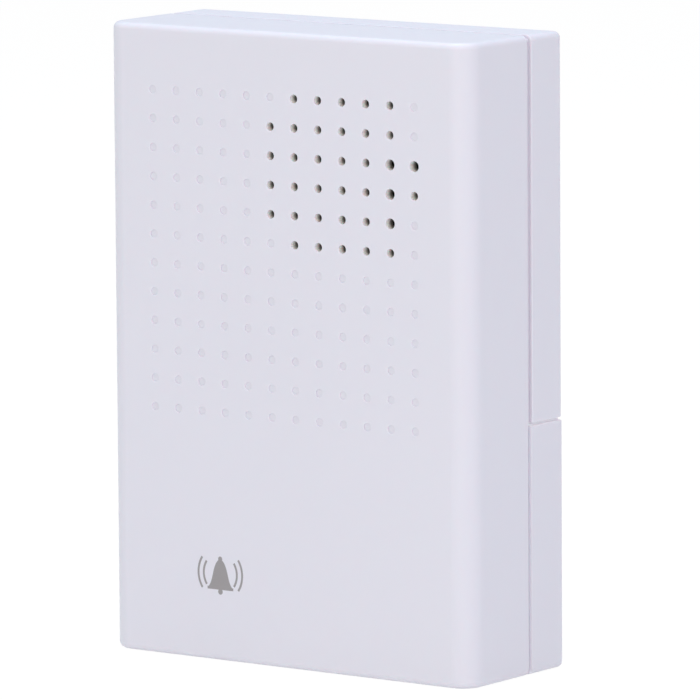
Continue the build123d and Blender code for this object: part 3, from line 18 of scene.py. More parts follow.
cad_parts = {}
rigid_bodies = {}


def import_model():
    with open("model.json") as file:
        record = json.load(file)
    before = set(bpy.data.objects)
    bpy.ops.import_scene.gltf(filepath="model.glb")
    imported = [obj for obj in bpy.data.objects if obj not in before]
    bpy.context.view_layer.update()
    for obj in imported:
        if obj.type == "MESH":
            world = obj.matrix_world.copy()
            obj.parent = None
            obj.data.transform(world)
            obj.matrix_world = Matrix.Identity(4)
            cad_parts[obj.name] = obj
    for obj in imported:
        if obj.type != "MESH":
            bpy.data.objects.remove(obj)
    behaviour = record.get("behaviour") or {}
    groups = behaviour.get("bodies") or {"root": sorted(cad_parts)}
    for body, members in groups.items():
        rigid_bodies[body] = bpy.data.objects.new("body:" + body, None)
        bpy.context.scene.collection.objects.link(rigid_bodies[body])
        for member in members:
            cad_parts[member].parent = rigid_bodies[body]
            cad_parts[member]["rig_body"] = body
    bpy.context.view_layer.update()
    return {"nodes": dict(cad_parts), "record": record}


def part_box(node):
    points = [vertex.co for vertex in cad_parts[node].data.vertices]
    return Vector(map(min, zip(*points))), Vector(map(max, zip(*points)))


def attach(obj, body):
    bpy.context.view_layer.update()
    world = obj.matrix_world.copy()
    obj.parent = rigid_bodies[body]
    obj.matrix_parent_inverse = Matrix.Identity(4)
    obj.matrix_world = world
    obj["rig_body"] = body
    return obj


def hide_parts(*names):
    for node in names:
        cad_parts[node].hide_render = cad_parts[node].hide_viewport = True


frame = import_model()
nodes = frame["nodes"]

# %% [markdown]
# A few sizes are needed again and again, so they are read from the frame once. The front face, the
# groove and the seam all follow from the boxes of the three shells. They could be typed in as well, but
# then every change of a piece would have to be typed in twice.

# %% Sizes from the frame
MM = 0.001
cover_low, cover_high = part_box("front_cover")
shell_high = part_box("rear_shell")[1]
door_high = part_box("battery_door")[1]
front_y = cover_low.y
width = cover_high.x - cover_low.x
height = cover_high.z
middle = Vector((0, 0, height / 2))
print(f"case {width / MM:.1f} x {(shell_high.y - front_y) / MM:.1f} x {height / MM:.1f} mm")

# %% [markdown]
# The camera stands to the right of the object and a little above it, far away behind a long lens, so
# that upright edges stay almost parallel. Its place came from the grid of marks on the front, whose
# spacing is known. The direction and the slight roll are given as two vectors, which is easier to read
# than three angles.

# %% Camera
CAMERA_PLACE = Vector((0.8558, front_y - 1.16232, 0.26051))
CAMERA_FORWARD = Vector((-0.58054, 0.80257, -0.13731)).normalized()
CAMERA_UP = Vector((-0.07537, 0.11495, 0.99051))
CAMERA_LENS = 401.23
CAMERA_SENSOR = 36.0
CAMERA_REACH = 20.0


def look(place, forward, up):
    """Camera matrix whose third axis points backwards along the view and whose second points up."""
    right = forward.cross(up).normalized()
    turn = Matrix((right, right.cross(forward), -forward)).transposed()
    return Matrix.Translation(place) @ turn.to_4x4()


lens = bpy.data.cameras.new("camera")
lens.lens = CAMERA_LENS
lens.sensor_width = CAMERA_SENSOR
lens.clip_end = CAMERA_REACH
camera = bpy.data.objects.new("camera", lens)
camera.matrix_world = look(CAMERA_PLACE, CAMERA_FORWARD, CAMERA_UP)
bpy.context.scene.collection.objects.link(camera)
bpy.context.scene.camera = camera
print("camera", round((CAMERA_PLACE - middle).length, 3), "m away")

# %% [markdown]
# Shader maths reads best as arithmetic. The nodes could be placed one by one, but a short formula would
# then fill a page. The class below wraps one socket that carries a number, and every sum or product of
# it adds the Math node that it needs. A finish keeps one material with its main shader, and its method
# for other nodes takes their settings first and then their inputs. The node that blends colours has
# several sockets of one name, so the ones in use are picked by their places.

# %% Shader arithmetic
BLEND_FACTOR = 0
BLEND_FIRST = 6
BLEND_SECOND = 7
BLEND_RESULT = 2
NOISE_LUMP = 0.5


class Number:
    """A number that changes over a surface. Arithmetic on it adds Math nodes, whichever side it is on."""

    def __init__(self, finish, socket):
        self.finish = finish
        self.socket = socket

    def __add__(self, other):
        return self.finish.math("ADD", self, other)

    def __radd__(self, other):
        return self.finish.math("ADD", other, self)

    def __sub__(self, other):
        return self.finish.math("SUBTRACT", self, other)

    def __rsub__(self, other):
        return self.finish.math("SUBTRACT", other, self)

    def __mul__(self, other):
        return self.finish.math("MULTIPLY", self, other)

    def __rmul__(self, other):
        return self.finish.math("MULTIPLY", other, self)

    def __truediv__(self, other):
        return self.finish.math("DIVIDE", self, other)

    def __gt__(self, other):
        return self.finish.math("GREATER_THAN", self, other)

    def __lt__(self, other):
        return self.finish.math("LESS_THAN", self, other)


class Finish:
    """One material: its shader's fixed values are set here, and what varies is wired by the caller."""

    def __init__(self, name, colour, roughness, **fixed):
        self.colour = colour
        self.material = bpy.data.materials.new(name)
        self.material.use_nodes = True
        self.material.diffuse_color = (*colour, 1.0)
        self.tree = self.material.node_tree
        self.shader = self.tree.nodes["Principled BSDF"]
        self.set("Base Color", (*colour, 1.0))
        self.set("Roughness", roughness)
        for socket, value in fixed.items():
            self.set(socket.replace("_", " "), value)
        self.place = self.node("ShaderNodeTexCoord").outputs["Object"]

    def node(self, kind, settings=None, inputs=None):
        """Add a node: its settings first, then numbers, colours or links on its inputs."""
        made = self.tree.nodes.new(kind)
        for key, value in (settings or {}).items():
            setattr(made, key, value)
        for key, value in (inputs or {}).items():
            self.feed(made.inputs[key], value)
        return made

    def feed(self, socket, value):
        """Link a number or a socket, or set a plain value."""
        if isinstance(value, Number):
            value = value.socket
        if isinstance(value, bpy.types.NodeSocket):
            self.tree.links.new(value, socket)
        else:
            socket.default_value = value

    def set(self, socket, value):
        """Set or wire one socket of the main shader."""
        self.feed(self.shader.inputs[socket], value)

    def math(self, operation, *values):
        """One Math node on numbers."""
        made = self.node("ShaderNodeMath", {"operation": operation}, dict(enumerate(values)))
        return Number(self, made.outputs[0])

    def noise(self, size, detail=2.0, stretch=(1, 1, 1)):
        """Noise from 0 to 1 whose lumps are about this many metres across."""
        scaled = self.node("ShaderNodeMapping", None, {"Vector": self.place, "Scale": stretch})
        made = self.node(
            "ShaderNodeTexNoise",
            None,
            {"Vector": scaled.outputs[0], "Scale": NOISE_LUMP / size, "Detail": detail},
        )
        return Number(self, made.outputs["Fac"])

    def axis(self, letter):
        """One coordinate of the surface point, in metres."""
        made = self.node("ShaderNodeSeparateXYZ", None, {0: self.place})
        return Number(self, made.outputs[letter])

    def step(self, value, low, high):
        """Smooth ramp from 0 below low to 1 above high."""
        made = self.node(
            "ShaderNodeMapRange",
            {"interpolation_type": "SMOOTHSTEP"},
            {"Value": value, "From Min": low, "From Max": high},
        )
        return Number(self, made.outputs[0])

    def mix(self, factor, first, second):
        """Blend of two colours."""
        made = self.node(
            "ShaderNodeMix",
            {"data_type": "RGBA"},
            {BLEND_FACTOR: factor, BLEND_FIRST: first, BLEND_SECOND: second},
        )
        return made.outputs[BLEND_RESULT]

    def drift(self, factor, tones):
        """The finish's own colour, on its way from one tone to another."""
        return self.mix(factor, tone(self.colour, tones[0]), tone(self.colour, tones[1]))

    def bump(self, height, distance, strength):
        """Relief from a height of 0 to 1 over this many metres, on the main shader's normal."""
        made = self.node(
            "ShaderNodeBump", None, {"Height": height, "Distance": distance, "Strength": strength}
        )
        self.set("Normal", made.outputs[0])


def tone(colour, factor):
    """The same colour, lighter or darker, with an alpha for a socket."""
    return (*[min(channel * factor, 1.0) for channel in colour], 1.0)


print("shader helpers ready")

# %% [markdown]
# The case is injection-moulded plastic, white with a cool, faintly violet cast, and neither mirror-like
# nor dull. A mould leaves two traces: a fine spark-eroded grain that breaks up reflections, and slow
# waves about two centimetres long where the wall sank a little as it cooled. Both are noise on object
# coordinates, one for the bump and both for the roughness, and the colour drifts by a percent with the
# waves. Such plastic isn't quite opaque. Light wanders up to a millimetre in it, red furthest, so the
# groove glows a little instead of turning black. Light and shade are also painted into the colour:
# painted light on the lip in the seam, the lower part of the groove and the front ends of the holes'
# walls, and painted shade on the rest of the groove, darkest at its lip, on the rings of the dimples
# and in the depths of the holes. A picture could carry these tones, but masks on the surface point stay
# sharp however near the camera comes. They ask how far a point lies behind the front, or inside the
# outline.

# %% Case plastic
CASE_WHITE = (0.725, 0.72, 0.80)
CASE_TONES = (0.992, 1.008)
LIGHT_SHARE = 0.55
LIGHT_WANDER = (1.0, 0.75, 0.8)
WANDER_LENGTH = 0.9 * MM
GRAIN = 0.35 * MM
SINK_WAVE = 22 * MM
ROUGHNESS_DRIFT = 0.06
# Painted light and painted shade for the groove, the seam, the dimples' rings and the holes' walls.
GROOVE_FLOOR_PAINTED_SHADE = (0.71, 0.68, 0.755, 1)
LOW_GROOVE_PAINTED_LIGHT = (0.86, 0.84, 0.92, 1)
GROOVE_LIP_PAINTED_SHADE = (0.64, 0.62, 0.69, 1)
GROOVE_WIDTH = 1.4 * MM
GROOVE_DEPTH = 0.6 * MM
LIP_MARGIN = 0.02 * MM
SEAM_PAINTED_LIGHT = (0.92, 0.9, 0.97, 1)
SEAM_BELOW = 0.5 * MM
SEAM_ABOVE = 0.2 * MM
FLAT_MARGIN = 5 * MM
DIMPLE_PAINTED_SHADE = (0.67, 0.61, 0.71, 1)
RING_START = 0.05 * MM
RING_FADE = 0.1 * MM
RING_END = 0.19 * MM
HOLE_PAINTED_LIGHT = (0.95, 0.92, 0.9, 1)
HOLE_PAINTED_SHADE = (0.25, 0.24, 0.23, 1)
WALL_LIT = 0.8 * MM
WALL_DARK = 1.9 * MM


def case_plastic(name, grain_depth, roughness):
    """White moulded plastic with spark grain and slow waves. Returns the finish and its colour."""
    finish = Finish(name, CASE_WHITE, roughness, IOR=1.5, Subsurface_Weight=LIGHT_SHARE)
    finish.set("Subsurface Radius", LIGHT_WANDER)
    finish.set("Subsurface Scale", WANDER_LENGTH)
    grain = finish.noise(GRAIN, detail=3.0)
    wave = finish.noise(SINK_WAVE, detail=1.0)
    finish.set("Roughness", roughness + ROUGHNESS_DRIFT * wave + ROUGHNESS_DRIFT * grain)
    finish.bump(grain, grain_depth, strength=0.5)
    return finish, finish.drift(wave, CASE_TONES)


def within(finish, margin):
    """1 where the surface point lies further than this inside the box, seen from the front."""
    beside = finish.math("ABSOLUTE", finish.axis("X")) < width / 2 - margin
    return beside * (finish.axis("Z") > margin) * (finish.axis("Z") < height - margin)


def paint_rear_light_and_shade(finish, plain):
    """Rear colour: painted shade in the groove, darkest at its lip; painted light in the seam and low
    groove.
    """
    reach = finish.math("ABSOLUTE", finish.axis("X"))
    beside = finish.step(reach, width / 2 - GROOVE_DEPTH, width / 2)
    above = finish.step(finish.axis("Z"), height - GROOVE_DEPTH, height)
    # Painted shade on the groove's upper floor and at its lip, painted light on its lower floor and in the
    # seam.
    floor = finish.mix(finish.axis("Z") < door_high.z, GROOVE_FLOOR_PAINTED_SHADE, LOW_GROOVE_PAINTED_LIGHT)
    groove = finish.mix(finish.math("MAXIMUM", beside, above), floor, GROOVE_LIP_PAINTED_SHADE)
    inner = within(finish, LIP_MARGIN)
    in_groove = (finish.axis("Y") < cover_high.y + GROOVE_WIDTH) * inner
    in_seam = (finish.axis("Z") > door_high.z - SEAM_BELOW) * (finish.axis("Z") < door_high.z + SEAM_ABOVE)
    return finish.mix(in_seam * inner, finish.mix(in_groove, plain, groove), SEAM_PAINTED_LIGHT)


def paint_cover_light_and_shade(finish, plain):
    """Front colour: painted shade ringing each dimple; painted light, then painted shade, down each hole's
    wall.
    """
    sunk = finish.axis("Y") - front_y
    flat = within(finish, FLAT_MARGIN)
    # Painted light at the front of each hole's wall, turning to painted shade deeper in.
    ring = (sunk > RING_START) * (1 - finish.step(sunk, RING_FADE, RING_END))
    wall = finish.mix(finish.step(sunk, WALL_LIT, WALL_DARK), HOLE_PAINTED_LIGHT, HOLE_PAINTED_SHADE)
    dimples_painted_shade = finish.mix(ring * flat, plain, DIMPLE_PAINTED_SHADE)
    return finish.mix((sunk > RING_END) * flat, dimples_painted_shade, wall)


cover_finish, cover_plain = case_plastic("cover_white", grain_depth=0.006 * MM, roughness=0.34)
cover_light_and_shade_colour = paint_cover_light_and_shade(cover_finish, cover_plain)
rear_finish, rear_plain = case_plastic("rear_white", grain_depth=0.008 * MM, roughness=0.38)
rear_finish.set("Base Color", paint_rear_light_and_shade(rear_finish, rear_plain))
cover_white = cover_finish.material
rear_white = rear_finish.material
print("case plastic ready")

# %% [markdown]
# Low on the front sits a small printed bell, the usual sign of a sounder, in the grey of pad-printing
# ink. It could be a thin plate of ink, but a printed film has no height to speak of. So it is drawn by
# arithmetic on the surface point: a bell is a span whose half width depends on the height, a clapper and
# a knob are discs, and the two arcs at each side are rings cut to a wedge. Each shape gives 1 inside and
# 0 outside, and the largest of them decides where ink lies. The same few shapes serve later for the plus
# and the minus on the cells.

# %% Printed signs
INK_GREY = (0.328, 0.314, 0.328, 1)
INK_REACH = 0.1 * MM
BELL_PLACE = (-15.5 * MM, 14.0 * MM)
BELL_HEIGHT = 5.4 * MM
BELL_DOME = 0.36
BELL_FLARE = 0.17
FLARE_POWER = 5.0
BELL_RIM = (0.0, -0.02, 0.56, 0.05)
BELL_CLAPPER = (0.0, -0.14, 0.1)
BELL_KNOB = (0.0, 1.02, 0.09)
ARC_RADII = (0.72, 0.95)
ARC_STROKE = 0.085
ARC_SLOPE = 0.7


class Drawing:
    """Flat shapes on the plane of X and Z, around a middle, in units of one size."""

    def __init__(self, finish, place, size):
        self.finish = finish
        self.right = (finish.axis("X") - place[0]) / size
        self.up = (finish.axis("Z") - place[1]) / size
        self.ink = None

    def add(self, mask):
        """Keep the larger of the drawing so far and a new shape."""
        self.ink = mask if self.ink is None else self.finish.math("MAXIMUM", self.ink, mask)

    def away(self, value, middle=0.0):
        """Distance of a coordinate from a middle."""
        return self.finish.math("ABSOLUTE", value - middle)

    def bar(self, right, up, half_width, half_height):
        """Upright rectangle."""
        self.add((self.away(self.right, right) < half_width) * (self.away(self.up, up) < half_height))

    def reach(self, right, up):
        """Distance from a point of the drawing."""
        across = self.right - right
        above = self.up - up
        return self.finish.math("SQRT", across * across + above * above)

    def disc(self, right, up, radius):
        """Filled circle."""
        self.add(self.reach(right, up) < radius)

    def arc(self, up, radius, stroke):
        """Left and right part of a ring, within 35 degrees of the level through its middle."""
        ring = self.away(self.reach(0.0, up), radius) < stroke / 2
        self.add(ring * (self.away(self.up, up) < ARC_SLOPE * self.away(self.right)))


def bell_sign(finish, place, size):
    """Bell of half width dome sqrt(1 - t^2) + flare (1 - t)^5 at height t, with its smaller parts."""
    drawing = Drawing(finish, place, size)
    rise = finish.math("MINIMUM", finish.math("MAXIMUM", drawing.up, 0.0), 1.0)
    dome = BELL_DOME * finish.math("SQRT", 1.0 - rise * rise)
    flare = BELL_FLARE * finish.math("POWER", 1.0 - rise, FLARE_POWER)
    drawing.add((drawing.away(drawing.right) < dome + flare) * (drawing.away(drawing.up, 0.5) < 0.5))
    drawing.bar(*BELL_RIM)
    drawing.disc(*BELL_CLAPPER)
    drawing.disc(*BELL_KNOB)
    for radius in ARC_RADII:
        drawing.arc(0.5, radius, ARC_STROKE)
    return drawing.ink


on_front = cover_finish.axis("Y") < front_y + INK_REACH
ink = bell_sign(cover_finish, BELL_PLACE, BELL_HEIGHT) * on_front
cover_finish.set("Base Color", cover_finish.mix(ink, cover_light_and_shade_colour, INK_GREY))
print("bell sign", round(BELL_HEIGHT / MM, 1), "mm high")

# %% [markdown]
# What lies inside needs finishes too, because the rear cover comes off and each piece can be seen on
# its own. Every piece could have a finish written for it alone, but a few families keep like materials
# alike: metals with brushed or plated streaks, moulded plastics with a fine grain, and pulped paper and
# cloth with fibres.

# %% Families of finishes
ZINC = (0.62, 0.63, 0.64)
ZINC_ROUGHNESS = 0.28
STREAK_SIZE = 0.4 * MM
STREAK_ROUGHNESS = 0.16
STREAK_RELIEF = 0.01 * MM
STAIN_SIZE = 6 * MM
METAL_TONES = (0.86, 1.05)
CLOUD_SIZE = 8 * MM
GRIT_ROUGHNESS = 0.1
PLASTIC_TONES = (0.9, 1.08)
MOTTLE_SIZE = 3 * MM
FIBRE_LENGTH = (1, 1, 2.6)
FIBRE_ROUGHNESS = 0.82
STRAND_ROUGHNESS = 0.14
FIBRE_TONES = (0.7, 1.25)


def metal(name, colour, roughness, streak=(1, 1, 1)):
    """Plated or brushed metal: streaks in its roughness and relief, and stains in its colour."""
    finish = Finish(name, colour, roughness, Metallic=1.0)
    streaks = finish.noise(STREAK_SIZE, detail=3.0, stretch=streak)
    finish.set("Roughness", roughness + STREAK_ROUGHNESS * streaks)
    finish.set("Base Color", finish.drift(finish.noise(STAIN_SIZE), METAL_TONES))
    finish.bump(streaks, STREAK_RELIEF, strength=0.4)
    return finish.material


def moulding(name, colour, roughness, grain=0.3 * MM, depth=0.01 * MM):
    """Coloured plastic, rubber or epoxy with a fine grain."""
    finish = Finish(name, colour, roughness, IOR=1.48)
    grit = finish.noise(grain, detail=3.0)
    finish.set("Roughness", roughness + GRIT_ROUGHNESS * grit)
    finish.set("Base Color", finish.drift(finish.noise(CLOUD_SIZE), PLASTIC_TONES))
    finish.bump(grit, depth, strength=0.5)
    return finish.material


def fibre(name, colour, size=0.5 * MM, depth=0.06 * MM):
    """Pulped paper, felt or dipped cloth: long fibres and mottling."""
    finish = Finish(name, colour, FIBRE_ROUGHNESS, IOR=1.4)
    strands = finish.noise(size, detail=5.0, stretch=FIBRE_LENGTH)
    mottle = finish.noise(MOTTLE_SIZE, detail=3.0)
    finish.set("Base Color", finish.drift(0.5 * strands + 0.5 * mottle, FIBRE_TONES))
    finish.set("Roughness", FIBRE_ROUGHNESS + STRAND_ROUGHNESS * strands)
    finish.bump(strands, depth, strength=0.7)
    return finish.material


FINISHES = {
    "zinc_screw": metal("zinc_plate", ZINC, ZINC_ROUGHNESS),
    "felt": fibre("grey_felt", (0.06, 0.058, 0.056)),
    "basket_steel": metal("yellow_zinc", (0.62, 0.58, 0.46), 0.32),
    "surround_rubber": moulding("coated_cloth", (0.04, 0.04, 0.041), 0.75, 0.5 * MM, 0.04 * MM),
    "cone_paper": fibre("cone_pulp", (0.05, 0.048, 0.047)),
    "former_paper": fibre("kraft_paper", (0.42, 0.3, 0.16)),
    "copper_wire": metal("enamelled_copper", (0.72, 0.32, 0.15), 0.25, (1, 14, 1)),
    "spider_cloth": fibre("dipped_cloth", (0.55, 0.42, 0.2)),
    "ferrite": moulding("ferrite", (0.05, 0.05, 0.053), 0.55, 0.25 * MM, 0.03 * MM),
    "phenolic": fibre("phenolic_sheet", (0.3, 0.15, 0.06), 0.4 * MM, 0.02 * MM),
    "tag_brass": metal("tinned_brass", (0.7, 0.62, 0.42), 0.3),
    "ceramic_orange": moulding("orange_lacquer", (0.6, 0.2, 0.04), 0.3),
    "solder": metal("solder", (0.66, 0.66, 0.67), 0.2),
    "terminal_green": moulding("terminal_plastic", (0.03, 0.2, 0.09), 0.42),
    "nickel_steel": metal("nickel_plate", (0.72, 0.69, 0.63), 0.22, (1, 1, 9)),
    "lead_red": moulding("red_vinyl", (0.5, 0.02, 0.015), 0.32),
    "lead_black": moulding("black_vinyl", (0.015, 0.015, 0.015), 0.32),
    "cell_steel": metal("cell_can", (0.7, 0.69, 0.67), 0.24),
}
print(len(FINISHES), "finishes for what is inside")

# %% [markdown]
# Small components are one solid each, body and legs together, but two materials on the bench. A mask
# along the body's own direction tells them apart: inside it the body's lacquer or epoxy, outside it
# bright tinned wire. The same coordinate places the colour bands of the resistors, the ring of the
# diode and the dashes on the cans of the capacitors. The screws get their thread as rings of relief on
# the shank, since a real helix of that pitch would cost thousands of faces for grooves that hardly show.

# %% Legs, bands and threads
TIN = (0.66, 0.66, 0.67)
EPOXY_BLACK = (0.02, 0.02, 0.021)
LACQUER_BEIGE = (0.6, 0.43, 0.25)
COAT_TONES = (0.92, 1.06)
COAT_CLOUD = 3 * MM
COAT_GRAIN = 0.4 * MM
LEG_REACH = 1.5 * MM
PIN_REACH = 0.6 * MM
DIODE_BANDS = ((1.7, TIN),)
RESISTOR_BANDS = (
    (-2.1, (0.16, 0.05, 0.02)),
    (-1.2, (0.01, 0.01, 0.01)),
    (-0.3, (0.65, 0.16, 0.02)),
    (1.9, (0.6, 0.4, 0.12)),
)
CAN_BLUE = (0.02, 0.035, 0.11)
CAN_ROUGHNESS = 0.3
CAN_NECK = 1.2 * MM
STRIPE_PALE = (0.5, 0.52, 0.55, 1.0)
STRIPE_SHARE = 0.45
DASH_DARK = (0.02, 0.03, 0.08, 1.0)
DASH_SHARE = 0.1
DASH_PITCH = 2 * MM
THREAD_PITCH = 1.0 * MM
THREAD_DEPTH = 0.25 * MM
THREAD_PAINTED_SHADE = 0.6


def legged(node, colour, roughness, letter, low_legs, high_legs):
    """Body between two lengths of leg. Returns the finish, its coordinate, the body's mask and coat."""
    low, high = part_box(node)
    finish = Finish(node + "_coat", colour, roughness, IOR=1.5)
    place = finish.axis(letter)
    start = getattr(low, letter.lower()) + low_legs
    end = getattr(high, letter.lower()) - high_legs
    body = (place > start) * (place < end)
    coat = finish.drift(finish.noise(COAT_CLOUD), COAT_TONES)
    finish.set("Metallic", 1 - body)
    finish.set("Roughness", roughness + GRIT_ROUGHNESS * finish.noise(COAT_GRAIN, detail=3.0))
    return finish, place, body, coat


def coated(finish, body, coat):
    """Material with this coat on the body and bare tin on the legs."""
    finish.set("Base Color", finish.mix(body, tone(TIN, 1.0), coat))
    return finish.material


def banded(node, colour, roughness, legs, bands=(), half_band=0.0):
    """Component along Z with colour bands, each given by its place from the middle in millimetres."""
    finish, place, body, coat = legged(node, colour, roughness, "Z", *legs)
    low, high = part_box(node)
    centre = (low.z + high.z) / 2
    for offset, band_colour in bands:
        band = finish.math("ABSOLUTE", place - (centre + offset * MM)) < half_band
        coat = finish.mix(band, coat, tone(band_colour, 1.0))
    return coated(finish, body, coat)


def striped_can(node):
    """Capacitor can in a dark sleeve with a pale stripe and dashes along the side that faces forward."""
    finish, place, body, coat = legged(node, CAN_BLUE, CAN_ROUGHNESS, "X", CAN_NECK, 0.0)
    low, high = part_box(node)
    half = (high.z - low.z) / 2
    side = finish.math("ABSOLUTE", finish.axis("Z") - (low.z + high.z) / 2)
    facing = finish.axis("Y") < low.y + half
    stripe = (side < STRIPE_SHARE * half) * facing
    dash = (side < DASH_SHARE * half) * (finish.math("FRACT", place / DASH_PITCH) < 0.5) * facing
    return coated(finish, body, finish.mix(dash, finish.mix(stripe, coat, STRIPE_PALE), DASH_DARK))


def threaded(node, head_height):
    """Zinc-plated screws: rings of relief on the shank with painted shade that follows them, and a plain
    head.
    """
    finish = Finish(node + "_zinc", ZINC, ZINC_ROUGHNESS, Metallic=1.0)
    place = finish.axis("Y")
    ridge = finish.math("ABSOLUTE", finish.math("FRACT", place / THREAD_PITCH) - 0.5) * 2.0
    thread = ridge * (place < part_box(node)[1].y - head_height)
    finish.set("Roughness", ZINC_ROUGHNESS + STREAK_ROUGHNESS * finish.noise(STREAK_SIZE, detail=3.0))
    # Painted shade: the colour darkens along with the rings of relief.
    finish.set("Base Color", finish.mix(thread, tone(TIN, 1.0), tone(TIN, THREAD_PAINTED_SHADE)))
    finish.bump(thread, THREAD_DEPTH, strength=0.8)
    return finish.material


WIRE_LEGS = (LEG_REACH, LEG_REACH)
NODE_FINISHES = {
    "resistors": banded("resistors", LACQUER_BEIGE, 0.35, WIRE_LEGS, RESISTOR_BANDS, 0.24 * MM),
    "polarity_diode": banded("polarity_diode", EPOXY_BLACK, 0.4, WIRE_LEGS, DIODE_BANDS, 0.4 * MM),
    "transistors": banded("transistors", EPOXY_BLACK, 0.5, (LEG_REACH, 0.0)),
    "melody_chip": banded("melody_chip", EPOXY_BLACK, 0.55, (PIN_REACH, PIN_REACH)),
    "reservoir_capacitor": striped_can("reservoir_capacitor"),
    "coupling_capacitor": striped_can("coupling_capacitor"),
    "case_screws": threaded("case_screws", head_height=1.9 * MM),
    "board_screws": threaded("board_screws", head_height=1.2 * MM),
    "speaker_screws": threaded("speaker_screws", head_height=1.2 * MM),
}
print(len(NODE_FINISHES), "pieces with a finish of their own")

# %% [markdown]
# The circuit board is brown paper laminate under green lacquer, with copper tracks that raise the
# lacquer slightly. Strips of copper could be laid on it, but drawn tracks cost no faces: they are bands
# of a coarse grid, where a slow noise picks the upright ones in some places and the level ones in
# others. The cells' sleeves carry two plain colours, split where a real cell's are, and a plus and a
# minus at the ends of the side that shows when the rear cover is off.

# %% Board and sleeves
LACQUER_GREEN = (0.03, 0.16, 0.06)
LACQUER_BARE = (0.018, 0.11, 0.04, 1)
LACQUER_TRACK = (0.05, 0.24, 0.08, 1)
LACQUER_ROUGHNESS = 0.3
LACQUER_DULLING = 0.15
LACQUER_GRAIN = 0.5 * MM
TRACK_PITCH = 2.54 * MM
TRACK_HALF = 0.2
TRACK_RELIEF = 0.035 * MM
FIELD_SIZE = 7 * MM
UPRIGHT_ABOVE = 0.52
LEVEL_BELOW = 0.46
SLEEVE_DARK = (0.03, 0.034, 0.04)
SLEEVE_COPPER = (0.55, 0.26, 0.09, 1)
SLEEVE_ROUGHNESS = 0.22
SLEEVE_DULLING = 0.12
SLEEVE_WEAR = 1.2 * MM
COPPER_SHARE = 0.27
SIGN_PALE = (0.75, 0.75, 0.74, 1)
SIGN_SIZE = 4.0 * MM
SIGN_INSET = 5.0 * MM
SIGN_REACH = 0.5
SIGN_STROKE = 0.12


def track_band(finish, letter):
    """1 on the bands that the grid's lines across this axis make."""
    cell = finish.math("FRACT", finish.axis(letter) / TRACK_PITCH)
    return finish.math("ABSOLUTE", cell - 0.5) < TRACK_HALF


def board_lacquer():
    """Green lacquer over tracks that follow a square grid."""
    finish = Finish("board_lacquer", LACQUER_GREEN, LACQUER_ROUGHNESS, IOR=1.5)
    pick = finish.noise(FIELD_SIZE, detail=0.0)
    upright = track_band(finish, "X") * (pick > UPRIGHT_ABOVE)
    track = finish.math("MAXIMUM", upright, track_band(finish, "Z") * (pick < LEVEL_BELOW))
    finish.set("Base Color", finish.mix(track, LACQUER_BARE, LACQUER_TRACK))
    finish.set("Roughness", LACQUER_ROUGHNESS + LACQUER_DULLING * finish.noise(LACQUER_GRAIN))
    finish.bump(track, TRACK_RELIEF, strength=0.8)
    return finish.material


def pole_signs(finish, plus_place, minus_place, middle_y):
    """Plus and minus printed on the side of a cell that faces the rear cover."""
    minus = Drawing(finish, minus_place, SIGN_SIZE)
    minus.bar(0.0, 0.0, SIGN_REACH, SIGN_STROKE)
    plus = Drawing(finish, plus_place, SIGN_SIZE)
    plus.bar(0.0, 0.0, SIGN_REACH, SIGN_STROKE)
    plus.bar(0.0, 0.0, SIGN_STROKE, SIGN_REACH)
    return finish.math("MAXIMUM", plus.ink, minus.ink) * (finish.axis("Y") > middle_y)


def points_right(name):
    """True where the cell sticks out further at the right end of its sleeve, which is where its plus is."""
    low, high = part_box(name)
    cell_low, cell_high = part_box(name.replace("sleeve_", ""))
    return cell_high.x - high.x > low.x - cell_low.x


def cell_sleeve(name):
    """Two-colour sleeve: a copper-coloured band at the positive end, dark grey for the rest, and signs."""
    low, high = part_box(name)
    positive_right = points_right(name)
    finish = Finish(name + "_print", SLEEVE_DARK, SLEEVE_ROUGHNESS, Coat_Weight=0.6, Coat_Roughness=0.08)
    length = high.x - low.x
    split = high.x - COPPER_SHARE * length if positive_right else low.x + COPPER_SHARE * length
    place = finish.axis("X")
    copper = place > split if positive_right else place < split
    print_colour = finish.mix(copper, (*SLEEVE_DARK, 1), SLEEVE_COPPER)
    ends = (high.x - SIGN_INSET, low.x + SIGN_INSET)
    plus_x, minus_x = ends if positive_right else ends[::-1]
    middle_z = (low.z + high.z) / 2
    signs = pole_signs(finish, (plus_x, middle_z), (minus_x, middle_z), (low.y + high.y) / 2)
    finish.set("Base Color", finish.mix(signs, print_colour, SIGN_PALE))
    wear = finish.noise(SLEEVE_WEAR, detail=3.0)
    finish.set("Roughness", SLEEVE_ROUGHNESS + SLEEVE_DULLING * wear)
    return finish.material


FINISHES["board"] = board_lacquer()
slots = {entry["node"]: entry["material_slot"] for entry in frame["record"]["subparts"]}
CASE_NODES = {"front_cover": cover_white, "rear_shell": rear_white, "battery_door": rear_white}


def paint(obj, material):
    """Give an object this one material."""
    obj.data.materials.clear()
    obj.data.materials.append(material)


for name, obj in nodes.items():
    if name in CASE_NODES:
        paint(obj, CASE_NODES[name])
    elif name.startswith("cell_sleeve"):
        paint(obj, cell_sleeve(name))
    elif name in NODE_FINISHES:
        paint(obj, NODE_FINISHES[name])
    else:
        paint(obj, FINISHES[slots[name]])
print("every piece has its finish")

# %% [markdown]
# Every piece comes as loose triangles, so its rounded edges would show as flat strips. Plain smooth
# shading would cure that and spoil the flats: a wide flat is cut into long thin triangles, and where
# they meet a rounding their normals tilt and draw streaks across it. So the normals are worked out
# here. Around a point, the faces that turn less than a set angle share one normal, in which each counts
# by the width of the flat that it belongs to. A wide flat then keeps its own normal right up to the
# rounding, and the narrow strips blend.

# %% Normals from the width of the flats
SMOOTH_ANGLE = math.radians(32)
FLAT_ANGLE = math.radians(0.4)
LEAST_LENGTH = 1e-30
LEAST_RIM = 1e-9


